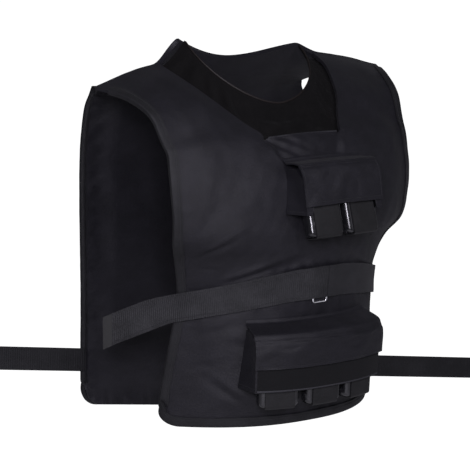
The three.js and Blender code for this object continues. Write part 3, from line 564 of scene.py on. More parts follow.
class Graph:
    """Node tree of one material."""

    def __init__(self, name: str) -> None:
        """Starts a material with its principled shader.

        Args:
            name: the material's name.
        """
        self.material = bpy.data.materials.new(name)
        self.material.use_nodes = True
        self.tree = self.material.node_tree
        self.shader = self.tree.nodes["Principled BSDF"]

    def add(self, kind: str, settings: dict, values: dict, output: str | int = 0) -> Shade:
        """Adds a node.

        Args:
            kind: the node's type.
            settings: its own settings, made first.
            values: links or values of its sockets, by name or number.
            output: which output is wanted.

        Returns:
            The wrapped output socket.
        """
        node = self.tree.nodes.new(kind)
        for key, value in settings.items():
            setattr(node, key, value)
        for key, value in values.items():
            self.put(node.inputs[key], value)
        return Shade(self, node.outputs[output])

    def put(self, target: bpy.types.NodeSocket, value: Shade | float | tuple) -> None:
        """Links a socket or sets its own value.

        Args:
            target: the input.
            value: a wrapped output, or a value.
        """
        if isinstance(value, Shade):
            self.tree.links.new(value.socket, target)
        else:
            target.default_value = value

    def set(self, **values: Shade | float | tuple) -> None:
        """Sets sockets of the shader, their names written with underscores."""
        for key, value in values.items():
            self.put(self.shader.inputs[key.replace("_", " ")], value)

    def noise(self, scale: float, detail: float = 3.0,
              stretch: tuple[float, float, float] = (1, 1, 1)) -> Shade:
        """Noise on object coordinates.

        Args:
            scale: waves per metre.
            detail: octaves.
            stretch: by how much it is drawn together along each axis.

        Returns:
            The noise, from 0 to 1.
        """
        where = self.add("ShaderNodeTexCoord", {}, {}, "Object")
        mapped = self.add("ShaderNodeMapping", {}, {"Vector": where, "Scale": stretch})
        return self.add("ShaderNodeTexNoise", {}, {"Vector": mapped, "Scale": scale, "Detail": detail}, "Fac")

    def cloth_uv(self) -> tuple[Shade, Shade]:
        """The cloth's own lengths.

        Returns:
            Lengths along and across it, in metres.
        """
        where = self.add("ShaderNodeUVMap", {"uv_map": "cloth"}, {})
        parts = self.tree.nodes.new("ShaderNodeSeparateXYZ")
        self.put(parts.inputs[0], where)
        return Shade(self, parts.outputs[0]), Shade(self, parts.outputs[1])

    def mix(self, share: Shade, low: Colour, high: Colour) -> Shade:
        """Colour between two.

        Args:
            share: how far from low to high.
            low, high: the two colours.

        Returns:
            The colour.
        """
        node = self.tree.nodes.new("ShaderNodeMix")
        node.data_type = "RGBA"
        self.put(node.inputs["Factor"], share)
        self.put(node.inputs[6], (*low, 1.0))
        self.put(node.inputs[7], (*high, 1.0))
        return Shade(self, node.outputs[2])

    def bump(self, height: Shade, distance: float, under: Shade | None = None) -> Shade:
        """Normal bumped by a height.

        Args:
            height: from 0 to 1.
            distance: metres that it is multiplied by.
            under: a normal bumped before this one.

        Returns:
            The normal.
        """
        values = {"Height": height, "Distance": distance, "Strength": 1.0}
        if under is not None:
            values["Normal"] = under
        return self.add("ShaderNodeBump", {}, values)


# Waves per metre of a cloth's worn patches, small creases and grain
PATCHES, CREASES, GRAIN = 9.0, 34.0, 320.0


class Weave(Enum):
    """How the threads of a cloth lie."""

    PLAIN = "plain"
    RIBBED = "ribbed"
    TAPE = "tape"
    KNIT = "knit"
    PILE = "pile"


class Finish:
    """What a piece is made of; each finish builds its material once."""

    slot: str
    made: dict[str, bpy.types.Material] = {}

    def material(self) -> bpy.types.Material:
        """Builds the material on first use and keeps it.

        Returns:
            The finish's material.
        """
        key = repr(self)
        if key not in Finish.made:
            Finish.made[key] = self.build()
        return Finish.made[key]

    def build(self) -> bpy.types.Material:
        """Builds the material."""
        raise NotImplementedError


@dataclass(frozen=True)
class Fabric(Finish):
    """A woven or knitted black cloth.

    Fields:
        slot: first word of the material's name.
        weave: how its threads lie.
        dark, light: colour in the hollows and on the crests; the threads and small creases are painted darker
            in their hollows as painted shade and lighter on their crests as painted highlight, while grain
            and patches vary the tone at random.
        pitch: width of a pair of threads, in metres.
        relief: height of the threads, in metres.
        rough: roughness.
        sheen: weight of the soft sheen.
        crinkle: height of the small creases, in metres.
        gloss: level of its mirror part.
    """

    slot: str
    weave: Weave
    dark: Colour
    light: Colour
    pitch: float
    relief: float
    rough: float = 0.6
    sheen: float = 0.02
    crinkle: float = 0.0003
    gloss: float = 0.25

    def threads(self, graph: Graph) -> Shade:
        """Height of the threads, from sines over the cloth's own lengths.

        Args:
            graph: the material's nodes.

        Returns:
            Heights from 0 to 1.
        """
        along, across = graph.cloth_uv()
        warp, weft = along.sine(self.pitch), across.sine(self.pitch)
        if self.weave is Weave.RIBBED:
            return warp * 0.32 + across.sine(self.pitch * 0.55) * 0.12 + 0.5
        if self.weave is Weave.TAPE:
            return (along + across).sine(self.pitch) * 0.3 + weft * 0.15 + 0.5
        if self.weave is Weave.KNIT:
            return (warp * weft).math("ABSOLUTE")
        if self.weave is Weave.PILE:
            return graph.noise(900.0, 2.0)
        return warp * weft * 0.5 + 0.5

    def build(self) -> bpy.types.Material:
        """Threads, small creases and uneven wear over a rough black base, with painted shade in the hollows
        of the threads and creases and painted highlight on their crests.

        Returns:
            The material.
        """
        graph = Graph(f"{self.slot}_{self.weave.value}")
        threads = self.threads(graph)
        patches = graph.noise(PATCHES, 4.0)
        creases = graph.noise(CREASES, 5.0, (1.0, 1.0, 1.6))
        grain = graph.noise(GRAIN, 2.0)
        # Painted shade and highlight: threads and creases darken their hollows and lighten their crests, as
        # the bumps do; grain and patches vary the tone at random.
        tone = (threads * 0.35 + grain.above(0.35, 0.65) * 0.2 + patches.above(0.35, 0.7) * 0.27
                + creases.above(0.4, 0.65) * 0.18)
        fine = graph.bump(threads * 0.5 + grain * 0.5, self.relief)
        graph.set(Base_Color=graph.mix(tone, self.dark, self.light),
                  Roughness=patches * 0.16 + (self.rough - 0.08),
                  Normal=graph.bump(creases, self.crinkle, fine),
                  Sheen_Weight=self.sheen, Sheen_Roughness=0.45, Specular_IOR_Level=self.gloss)
        return graph.material


@dataclass(frozen=True)
class Coat(Finish):
    """Glossy black coat of the weights."""

    slot: str = "weight"

    def build(self) -> bpy.types.Material:
        """Black gloss with faint ripples and scuffs.

        Returns:
            The material.
        """
        graph = Graph("weight_coat")
        scuffs = graph.noise(120.0, 6.0)
        graph.set(Base_Color=graph.mix(scuffs.above(0.55, 0.8), (0.006, 0.006, 0.007), (0.03, 0.03, 0.032)),
                  Roughness=scuffs * 0.2 + 0.14, Normal=graph.bump(graph.noise(40.0, 2.0), 0.0004),
                  Coat_Weight=0.25, Specular_IOR_Level=0.5)
        return graph.material


@dataclass(frozen=True)
class Plate(Finish):
    """Bright plated wire of the ring."""

    slot: str = "nickel"

    def build(self) -> bpy.types.Material:
        """Metal with fine wear.

        Returns:
            The material.
        """
        graph = Graph("nickel_plate")
        wear = graph.noise(300.0, 5.0)
        graph.set(Base_Color=graph.mix(wear, (0.68, 0.68, 0.7), (0.86, 0.86, 0.87)), Metallic=1.0,
                  Roughness=wear * 0.18 + 0.1, Normal=graph.bump(wear, 0.00005))
        return graph.material


@dataclass(frozen=True)
class Thread(Finish):
    """Sewing thread, or a folded edge, a little lighter than the cloth."""

    slot: str
    tone: Colour

    def build(self) -> bpy.types.Material:
        """Twisted thread.

        Returns:
            The material.
        """
        graph = Graph(f"{self.slot}_thread")
        twist = graph.noise(1500.0, 2.0)
        bright = tuple(2.2 * part for part in self.tone)
        graph.set(Base_Color=graph.mix(twist, self.tone, bright), Roughness=0.55,
                  Normal=graph.bump(twist, 0.0001), Specular_IOR_Level=0.3)
        return graph.material


NYLON = Fabric("nylon", Weave.PLAIN, (0.0040, 0.0038, 0.0052), (0.0118, 0.0113, 0.0148),
               pitch=0.0020, relief=0.0005, rough=0.5, crinkle=0.0008, gloss=0.22)
TAPE_CLOTH = Fabric("tape", Weave.TAPE, (0.0022, 0.0022, 0.0028), (0.013, 0.013, 0.0145),
                    pitch=0.0024, relief=0.0004)
WEBBING = Fabric("webbing", Weave.RIBBED, (0.002, 0.002, 0.0025), (0.026, 0.026, 0.028),
                 pitch=0.0034, relief=0.0009)
# The straps' webbing: the belt's webbing with darker crests, painted shade on the straps.
SHADED_STRAP_WEBBING = replace(WEBBING, light=(0.013, 0.013, 0.0145))
SMOOTH_WEBBING = Fabric("webbing", Weave.PILE, (0.006, 0.006, 0.007), (0.020, 0.020, 0.022),
                        pitch=0.002, relief=0.0003, rough=0.75, sheen=0.03)
ELASTIC = Fabric("webbing", Weave.RIBBED, (0.003, 0.003, 0.0032), (0.013, 0.013, 0.0135),
                 pitch=0.0016, relief=0.0003, crinkle=0.0002)
KNIT = Fabric("mesh", Weave.KNIT, (0.0015, 0.0014, 0.0014), (0.0056, 0.0050, 0.0050),
              pitch=0.0022, relief=0.0003, rough=0.85, sheen=0.01, crinkle=0.0008, gloss=0.12)
PILE = Fabric("pile", Weave.PILE, (0.0010, 0.0010, 0.0013), (0.0030, 0.0030, 0.0036),
              pitch=0.001, relief=0.0006, rough=0.9, crinkle=0.0004)
SEWING = (0.010, 0.010, 0.011)
NYLON_THREAD, TAPE_THREAD, WEBBING_THREAD = (Thread(slot, SEWING) for slot in ("nylon", "tape", "webbing"))
HEM = Thread("nylon", (0.014, 0.014, 0.016))
RIM = Thread("mesh", (0.0045, 0.0030, 0.0026))
BELT_TIP = Thread("webbing", (0.0060, 0.0060, 0.0058))
COAT, PLATE = Coat(), Plate()


@dataclass(frozen=True)
class Fold:
    """A soft dent in the front: place as shares, run in degrees, sizes in millimetres."""

    across: float
    drop: float
    run: float
    length: float
    width: float
    depth: float

    def dent(self, share: Array, drop: Array) -> Array:
        """The fold's depth times a long bell curve, with a low ridge beside it.

        Args:
            share: signed shares of the front's half width.
            drop: drops from the origin.

        Returns:
            Depths into the front.
        """
        ridge_height, ridge_place = 0.45, 1.9
        angle = math.radians(self.run)
        dx = (share - self.across) * CHEST_HALF
        dz = self.drop * FRONT_DROP - drop
        along = (dx * math.cos(angle) + dz * math.sin(angle)) / self.length
        beside = (dz * math.cos(angle) - dx * math.sin(angle)) / self.width
        ridge = ridge_height * bell(beside, ridge_place, 1.0)
        return self.depth * bell(along, 0.0, 1.0) * (bell(beside, 0.0, 1.0) - ridge)


FOLDS = [Fold(*row) for row in (
    (-0.80, 0.50, 28, 34, 4.0, 4.2), (-0.86, 0.552, -4, 14, 3.2, 3.2), (-0.55, 0.575, 14, 46, 4.0, 3.0),
    (0.55, 0.60, -22, 47, 8, 3.4), (-0.90, 0.84, 14, 28, 5.0, 3.8), (-0.62, 0.92, -36, 44, 5.5, 3.6),
    (-0.35, 0.565, 16, 60, 8, 2.6), (-0.15, 0.585, 6, 50, 6, 2.4), (-0.50, 0.93, -40, 34, 6, 2.4),
    (-0.38, 0.94, -48, 30, 6, 2.0), (-0.80, 0.74, 20, 34, 7, 2.4), (-0.55, 0.78, -14, 40, 8, 1.8),
    (0.62, 0.52, -35, 50, 9, 2.4), (-0.86, 0.44, 60, 36, 8, 1.6), (0.40, 0.95, 30, 36, 7, 2.0),
    (0.75, 0.85, -12, 40, 8, 2.4),
)]


@dataclass(frozen=True)
class Panels:
    """Padded front and back, made fine enough for their folds.

    Fields:
        rows: points from hem to shoulder seam.
        side: points from armhole to neck edge.
        middle: points across the neck.
        below_neck: share of the front's rows that lie below the neckline.
        back_rows, back_columns: points on the back.
        puckers: height of the small gathers at the sewn edges.
        reach: how far the front's gathers reach in from an edge.
        back_reach: how far the back's gathers reach in from its sides and its hem.
        corner: length over which the padding fills out beside the neckline's corner.
        deepest_ridge: how far a fold may stand out.
        front_fill, back_fill: share of the padding left at the shoulder seam.
        front_swell, back_swell, ruffle: heights of the long and the short billows.
        at_edge: share of the gathers on the flat edge.
        yoke_slant: how much the yoke narrows at each side on its way down.
        yoke_side, yoke_foot: lengths over which it sinks in at its sides and foot.
        roll, roll_pitch: height of its slanting rolls, and their pitch over a turn.
        crumple: height of its small dents.
    """

    rows: int = 210
    side: int = 52
    middle: int = 38
    below_neck: float = 0.72
    back_rows: int = 170
    back_columns: int = 160
    puckers: float = 1.1
    reach: float = 20.0
    back_reach: tuple[float, float] = (24.0, 18.0)
    corner: float = 8.0
    deepest_ridge: float = 2.5
    front_fill: float = 0.4
    back_fill: float = 0.3
    front_swell: float = 1.5
    back_swell: float = 1.6
    ruffle: float = 0.25
    at_edge: float = 0.25
    yoke_slant: float = 0.5
    yoke_side: float = 10.0
    yoke_foot: float = 8.0
    roll: float = 1.5
    roll_pitch: float = 2.8
    crumple: float = 0.35

    def front_places(self) -> Array:
        """Rows of the front's mesh, one of them on the neckline's lower edge.

        Returns:
            Places counted in the table's rows.
        """
        below = round(self.rows * self.below_neck)
        return np.concatenate([np.linspace(0, NECK_ROW, below),
                               np.linspace(NECK_ROW, SEAM_ROW, self.rows - below + 1)[1:]])

    def front_shares(self, neck: Array) -> Array:
        """Columns of the front's mesh: closer together at the armholes, even across the neck.

        Args:
            neck: the neck edge's share of the half width, for each row.

        Returns:
            Signed shares for each row.
        """
        strap = lerp(neck, 1.0, np.sin(np.linspace(0, math.pi / 2, self.side))[None, :])
        centre = lerp(-neck, neck, np.linspace(0, 1, self.middle + 2)[None, 1:-1])
        return np.concatenate([-strap[:, ::-1], centre, strap], axis=1)

    def front(self) -> tuple[Array, Array, Array, Array]:
        """The front: its smooth face, less what the padding, folds, yoke, gathers and billows take or add.

        Returns:
            Outer skin, inner skin, kept cells, and the smooth face.
        """
        places = self.front_places()[:, None]
        places, shares = np.broadcast_arrays(places, self.front_shares(FRONT.at(places)["neck"]))
        face = front_face(places, shares)
        face[-1, :, 1] -= SHOULDER_GAP / 2
        s = FRONT.at(places)
        half, drop, reach = s["half"] * CHEST_HALF, s["drop"] * FRONT_DROP, np.abs(shares)
        x = shares * half
        from_side, from_hem = (1 - reach) * half, FRONT_DROP - drop
        above_neck = places >= NECK_ROW
        neck_drop = FRONT.rows[NECK_ROW, 0] * FRONT_DROP
        aside = (reach - s["neck"]) * half
        corner = np.hypot(np.maximum(aside, 0), np.maximum(drop - neck_drop, 0))
        from_neck = np.where(above_neck, aside, lerp(corner, SWELL, ease(-aside / self.corner)))
        from_seam = (SEAM_ROW - places) * SWELL / 2
        full = (ease((from_side - SEAM) / SWELL) * ease((from_hem - SEAM) / SWELL)
                * ease((from_neck + SEAM / 2) / SWELL) * lerp(self.front_fill, 1.0, ease(from_seam / SWELL)))
        pinch = (PAD - EDGE) / 2 * (1 - full)
        dent = sum(fold.dent(shares, drop) for fold in FOLDS) * full
        yoke_half = FRONT.rows[NECK_ROW, 5] * CHEST_HALF - self.yoke_slant * (drop - neck_drop)
        in_yoke = (ease((yoke_half - np.abs(x)) / self.yoke_side + 0.5)
                   * ease((neck_drop + YOKE_HEIGHT - drop + 3) / self.yoke_foot)
                   * (~above_neck | (from_neck <= 0)))
        sunk = YOKE_DEPTH * in_yoke * (places <= NECK_ROW + 0.001)
        rolls_fade = 1 - ease((x + 50) / 70)
        yoke_rolls = self.roll * np.sin((drop - x * 0.5) / self.roll_pitch) * rolls_fade
        yoke_folds = in_yoke * (yoke_rolls + self.crumple * waves(x, drop, 5, (18, 40)))
        gather = self.front_gathers(x, drop, from_side, from_hem)
        billow = (self.front_swell * waves(x, drop, 21, (70, 160), 7)
                  + self.ruffle * waves(x, drop, 22, (18, 50), 12)) * full
        depth = (pinch + np.maximum(dent, -self.deepest_ridge) + sunk + yoke_folds
                 - gather * lerp(self.at_edge, 1.0, full) - billow)
        depth = np.where(full > 0, depth, pinch - gather * self.at_edge)
        inner = np.maximum(PAD - pinch + np.maximum(dent, 0) * 0.4 - billow * 0.5, depth + EDGE / 2)
        normals = grid_normals(face)
        self.upright_seam(face, normals, np.ones(face.shape[1]))
        keep = np.ones((face.shape[0] - 1, face.shape[1] - 1), bool)
        in_neck = self.front_places()[:-1] >= NECK_ROW - 1e-9
        keep[np.ix_(in_neck, np.arange(self.side - 1, self.side + self.middle))] = False
        return face - normals * depth[..., None], face - normals * inner[..., None], keep, face

    def front_gathers(self, x: Array, drop: Array, from_side: Array, from_hem: Array) -> Array:
        """Small gathers along the armholes and the hem, and beside the belt's two edges.

        Args:
            x, drop: distances across and down.
            from_side, from_hem: distances from the edges.

        Returns:
            Heights.
        """
        belt = Belt()
        gather = self.puckers * (bell(from_side, 0, self.reach) * waves(x * 0.3, drop, 11, (9, 22))
                                 + bell(from_hem, 0, self.reach) * waves(x, drop * 0.3, 12, (9, 24)))
        height, width = 0.6, 16.0
        for edge in (belt.drop - belt.width / 2, belt.drop + belt.width / 2):
            near = bell(drop - belt.sag_at(x), edge, width)
            gather = gather + height * near * waves(x, drop * 0.25, int(edge), (12, 34))
        return gather

    @staticmethod
    def upright_seam(face: Array, normals: Array, share: Array) -> None:
        """Turns the normals of the last row upright along the shoulder seam.

        Args:
            face: grid whose last row is the seam.
            normals: its normals, changed in place.
            share: how far each of them is turned.
        """
        along = np.gradient(face[-1], axis=0)
        upright = unit(np.stack([-along[:, 2], np.zeros(len(along)), along[:, 0]], axis=-1))
        upright = upright * np.where(upright[:, 2] < 0, -1, 1)[:, None]
        normals[-1] = unit(lerp(normals[-1], upright, np.asarray(share)[:, None]))

    def back(self) -> tuple[Array, Array]:
        """The back: its smooth face, less the padding's pinch, with gathers and billows on both skins.

        Returns:
            Outer and inner skin, columns from the wearer's left to right.
        """
        places = np.linspace(0, BACK.last + 1, self.back_rows)[:, None]
        shares = -np.sin(np.linspace(-math.pi / 2, math.pi / 2, self.back_columns))[None, :]
        places, shares = np.broadcast_arrays(places, shares)
        face = back_face(places, shares)
        s = BACK.at(places)
        from_side = (1 - np.abs(shares)) * s["right"] * BACK_HALF
        from_hem = (1 - s["drop"]) * BACK_DROP
        from_top = (BACK.last + 1 - places) * SWELL / 2
        full = (ease((from_side - SEAM) / SWELL) * ease((from_hem - SEAM) / SWELL)
                * lerp(self.back_fill, 1.0, ease(from_top / SWELL)))
        x, drop = face[..., 0], -face[..., 2]
        pinch = (PAD - EDGE) / 2 * (1 - full)
        aside, below = self.back_reach
        gather = self.puckers * (1.5 * bell(from_side, 0, aside) * waves(x * 0.2, drop, 31, (8, 17))
                                 + bell(from_hem, 0, below) * waves(x, drop * 0.3, 32, (10, 24)))
        billow = (self.back_swell * waves(x, drop, 41, (70, 170), 7)
                  + self.ruffle * waves(x * 0.5, drop, 42, (16, 44), 12)) * full
        change = ((gather * 0.8 + billow) * ease(from_top / 10))[..., None]
        pinch = pinch[..., None]
        normals = grid_normals(face)
        outside = ease((np.abs(face[-1, :, 0]) - HEAD_HALF) / (HEAD_HALF * 0.25))
        self.upright_seam(face, normals, outside)
        return face - normals * (pinch - change), face - normals * (PAD - pinch - change * 0.9)

    def build(self) -> None:
        outer, inner, keep, face = self.front()
        front = Maker.sheet("front_padding", outer, inner, NYLON, ("front_panel",), keep, 70.0, face)
        row = int(np.searchsorted(self.front_places(), NECK_ROW))
        across = slice(self.side + 1, self.side + self.middle - 1)
        Maker.cord("neck_hem", lerp(outer[row, across], inner[row, across], 0.25), (1.1, 1.4), HEM)
        outer, inner = self.back()
        Maker.sheet("back_padding", outer, inner, NYLON, ("back_panel",), None, 70.0)


@dataclass(frozen=True)
class Binding:
    """Woven tape folded over the armhole edges and the hems.

    Fields:
        points: points along each edge path.
        bow: how far the folded tape bulges past the edge.
        flat, turned: points on each flat side and on the turn of its U section.
        uneven: how much its lines waver.
    """

    points: int = 420
    bow: float = 1.0
    flat: int = 3
    turned: int = 9
    uneven: float = 0.35

    def path(self, face_at: Callable[[Array, Array], Array], places: tuple[float, float],
             shares: tuple[float, float]) -> tuple[Array, Array, Array]:
        """Edge of a panel from one top corner down, along the hem and up to the other.

        Args:
            face_at: function of place and share for the face.
            places: hem and top place.
            shares: first and last share.

        Returns:
            Points on the middle of the edge, inward directions and normals.
        """
        low, high = places
        first, last = shares
        side, hem = self.points * 2 // 5, self.points // 5
        down = np.linspace(high, low, side)
        place = np.concatenate([down, np.full(hem, low), down[::-1]])
        sweep = (1 - np.cos(np.linspace(0, math.pi, hem + 2)[1:-1])) / 2
        share = np.concatenate([np.full(side, first), lerp(first, last, sweep), np.full(side, last)])
        face = face_at(place, share)
        step = 0.03
        near = np.maximum(place, low + step)
        one, other = np.clip(share + step / 2, -1, 1), np.clip(share - step / 2, -1, 1)
        beside = face_at(near, one) - face_at(near, other)
        step = 0.04
        above = face_at(np.minimum(place + step, high), share) - face_at(np.maximum(place - step, low), share)
        normal = unit(np.cross(beside, above))
        middle = face - normal * (PAD / 2)
        inward = unit(np.cross(normal, np.gradient(middle, axis=0)))
        return middle, inward * np.sign(inward[len(inward) // 2, 2]), normal

    def tape(self, name: str, node: str, path: tuple[Array, Array, Array], seed: int) -> None:
        """Makes one tape: a rounded U section round the edge, slightly uneven, with two rows of stitches.

        Args:
            name: the piece's name.
            node: the node that it stands for.
            path: what the method path gives.
            seed: seed of its unevenness.
        """
        middle, inward, normal = path
        uneven = self.uneven * waves(lengths_along(middle), 0.0, seed, (14, 50))
        angle = np.linspace(math.pi / 2, -math.pi / 2, self.turned)
        half = EDGE / 2 + TAPE_FIT
        reach = TAPE_WIDTH + uneven * 1.6
        in_reach = np.concatenate([[1.0, 0.66, 0.33], np.zeros(self.turned), [0.33, 0.66, 1.0]])
        turn = np.pad(angle, self.flat, "edge")
        bend = np.pad(np.cos(angle), self.flat)

        def skin(extra: float) -> Array:
            """One skin of the tape.

            Args:
                extra: how far it lies outside the inner one.

            Returns:
                Its grid.
            """
            inwards = in_reach[None, :] * reach[:, None] - bend[None, :] * (TAPE_FIT + extra + self.bow)
            across = np.sin(turn)[None, :] * (half + extra + uneven[:, None] * (0.4 + extra * 0.2))
            return (middle[:, None, :] + inward[:, None, :] * inwards[..., None]
                    + normal[:, None, :] * across[..., None])

        outer = skin(TAPE)
        Maker.sheet(name, outer, skin(0.0), TAPE_CLOTH, (node,), None, 50.0)
        for number, (column, sign) in enumerate(((1, 1.0), (-2, -1.0))):
            Stitches(3.2, 0.42).sew(f"{name}_stitch_{number + 1}", outer[4:-4, column], normal[4:-4] * sign,
                                    TAPE_THREAD)

    def build(self) -> None:
        """Makes both tapes."""
        self.tape("front_tape", "front_binding",
                  self.path(front_face, (0.0, SEAM_ROW - 0.5), (-1.0, 1.0)), 51)
        self.tape("back_tape", "back_binding",
                  self.path(back_face, (0.0, BACK.last - 1.0), (1.0, -1.0)), 52)


@dataclass(frozen=True)
class Stitches:
    """A row of stitches: short slim capsules laid end to end on a path.

    Fields:
        pitch: length of a stitch and its gap.
        radius: of the thread.
        length: share of the pitch that the stitch takes.
    """

    pitch: float
    radius: float = 0.4
    length: float = 0.74

    def sew(self, name: str, path: Array, normal: Array, finish: Finish) -> None:
        """Lays the stitches: each capsule is four rings of six points, ring radius times a short profile.

        Args:
            name: the row's name.
            path: points that it follows.
            normal: the cloth's normals there.
            finish: what the thread is made of.
        """
        lengths = lengths_along(path)
        count = int(lengths[-1] / self.pitch)
        if count < 2:
            return
        centres = (np.arange(count) + 0.5) * self.pitch

        def at(values: Array, where: Array) -> Array:
            """Values of the path at lengths along it."""
            return np.stack([np.interp(where, lengths, values[:, k]) for k in range(3)], axis=-1)

        middle = at(path, centres)
        along = unit(at(path, centres + self.pitch / 4) - at(path, centres - self.pitch / 4))
        up = at(normal, centres)
        up = unit(up - along * np.sum(up * along, axis=-1, keepdims=True))
        side = np.cross(along, up)
        ends = np.array([-0.5, -0.36, 0.36, 0.5]) * self.pitch * self.length
        thick = np.array([0.25, 1.0, 1.0, 0.25]) * self.radius
        turn = np.linspace(0, math.tau, 6, endpoint=False)
        ring = (along[:, None, None, :] * ends[None, :, None, None]
                + side[:, None, None, :] * (thick[:, None] * np.cos(turn))[None, :, :, None]
                + up[:, None, None, :] * (thick[:, None] * np.sin(turn))[None, :, :, None])
        points = (middle + up * self.radius * 0.3)[:, None, None, :] + ring
        number = np.arange(24).reshape(4, 6)
        turned = np.roll(number, -1, 1)
        sides = np.stack([number[:-1], turned[:-1], turned[1:], number[1:]], axis=-1).reshape(-1, 4)
        caps = np.array([[0, 1, 2, 3], [0, 3, 4, 5], [18, 19, 20, 21], [18, 21, 22, 23]])
        faces = np.concatenate([sides, caps])[None] + (np.arange(count) * 24)[:, None, None]
        Maker.mesh(name, points.reshape(-1, 3), faces.reshape(-1, 4), None, finish)


@dataclass(frozen=True)
class Collar:
    """Stretch insert between the head opening and the front's neck edge.

    Fields:
        fore, drop: front of the head opening from the origin.
        aft: where the rim ends behind the origin.
        ease_down: how far its ends lie below the shoulder.
        fit: rim inside the back's neckline.
        sag: how far the insert sags.
        tuck: reach under the front.
        clear: clearance behind the padding.
        corner: share of the quarter turn where the neckline's corner lies.
        corner_turn: share over which it goes round the corner.
        wall: thickness.
        side_gather, front_gather, crumple: heights of its upright and level folds and of its dents.
        right_gathers, left_gathers, front_gathers: where they lie round the opening, and over what width.
        side_turn, front_turn: how fast they follow on each other.
        sunk: how far its middle lies in, so that its folds stay within the solid's box.
    """

    fore: float = 62.0
    drop: float = 85.0
    aft: float = 32.0
    ease_down: float = 18.0
    fit: float = 3.5
    sag: float = 6.0
    tuck: float = 10.0
    clear: float = 1.5
    corner: float = 0.62
    corner_turn: float = 0.2
    wall: float = 1.6
    side_gather: float = 2.8
    front_gather: float = 3.0
    crumple: float = 1.0
    right_gathers: tuple[float, float] = (-1.15, 0.42)
    left_gathers: tuple[float, float] = (1.2, 0.4)
    front_gathers: tuple[float, float] = (0.0, 0.75)
    side_turn: float = 34.0
    front_turn: float = 17.0
    sunk: float = 1.2

    def under(self, angle: Array) -> Array:
        """Where the insert is sewn: behind the padding, just under the front's neck edge.

        Args:
            angle: angles round the head opening, 0 at the front.

        Returns:
            Points of the seam.
        """
        reach = np.abs(angle) / (math.pi / 2)
        side = np.where(angle < 0, -1.0, 1.0)
        straight = self.corner * 0.8
        up = np.clip((reach - straight) / (1 - straight), 0, 1)
        place = lerp(NECK_ROW, SEAM_ROW - 0.08, up)
        s = FRONT.at(place)
        tuck = self.tuck / (s["half"] * CHEST_HALF)
        share = (s["neck"] + tuck) * np.minimum(1, reach / straight)
        below = ease((self.corner - reach) / self.corner_turn)
        row = (FRONT.rows[NECK_ROW - 1, 0] - FRONT.rows[NECK_ROW, 0]) * FRONT_DROP
        lower = place - self.tuck / row * below
        face = front_face(lower, share * side)
        across = front_face(lower, share * side + 0.02) - face
        along = front_face(lower + 0.05, share * side) - face
        return face - unit(np.cross(across, along)) * (PAD + self.clear)

    def rim(self, angle: Array) -> Array:
        """The stretched top edge: an ellipse in plan that climbs to the shoulders.

        Args:
            angle: angles round the head opening, 0 at the front.

        Returns:
            Points of the rim.
        """
        rise = COLLAR_RISE * np.where(angle < 0, 1.0, COLLAR_CALM)
        round_up = np.maximum(1 - np.cos(angle), 0)**0.85
        return np.stack([(HEAD_HALF - self.fit) * np.sin(angle),
                         self.aft - (self.fore + self.aft) * np.cos(angle),
                         -self.drop + (self.drop - self.ease_down + rise) * round_up], axis=-1)

    def build(self) -> None:
        """Makes the insert, gathered upright at the sides and level at the front, and the bound rim."""
        angle = np.linspace(-math.pi / 2, math.pi / 2, 220)[None, :]
        down = np.linspace(1, 0, 60)[:, None]
        rim, under = self.rim(angle[0]), self.under(angle[0])
        grid = lerp(rim[None], under[None], down[..., None])
        middle = np.sin(down * math.pi)
        grid[..., 2] -= middle * self.sag
        sides = bell(angle, *self.right_gathers) + 0.8 * bell(angle, *self.left_gathers)
        front = bell(angle, *self.front_gathers)
        folds = (sides * self.side_gather * np.sin(angle * self.side_turn + down * 3) * middle
                 + front * self.front_gather * np.sin(down * self.front_turn + angle * 2.2) * middle**0.7
                 + self.crumple * waves(angle * 90, down * 60, 61, (16, 44)) * middle)
        outer = grid + grid_normals(grid) * ((folds - self.sunk) * middle**0.5)[..., None]
        Maker.cloth("stretch_insert", outer, self.wall, KNIT, ("collar_insert",), "stretched",
                    ("front_padding",))
        Maker.cord("insert_rim", rim[2:-2] + np.array([0, 0, 0.6]), (1.3, 1.7), RIM)


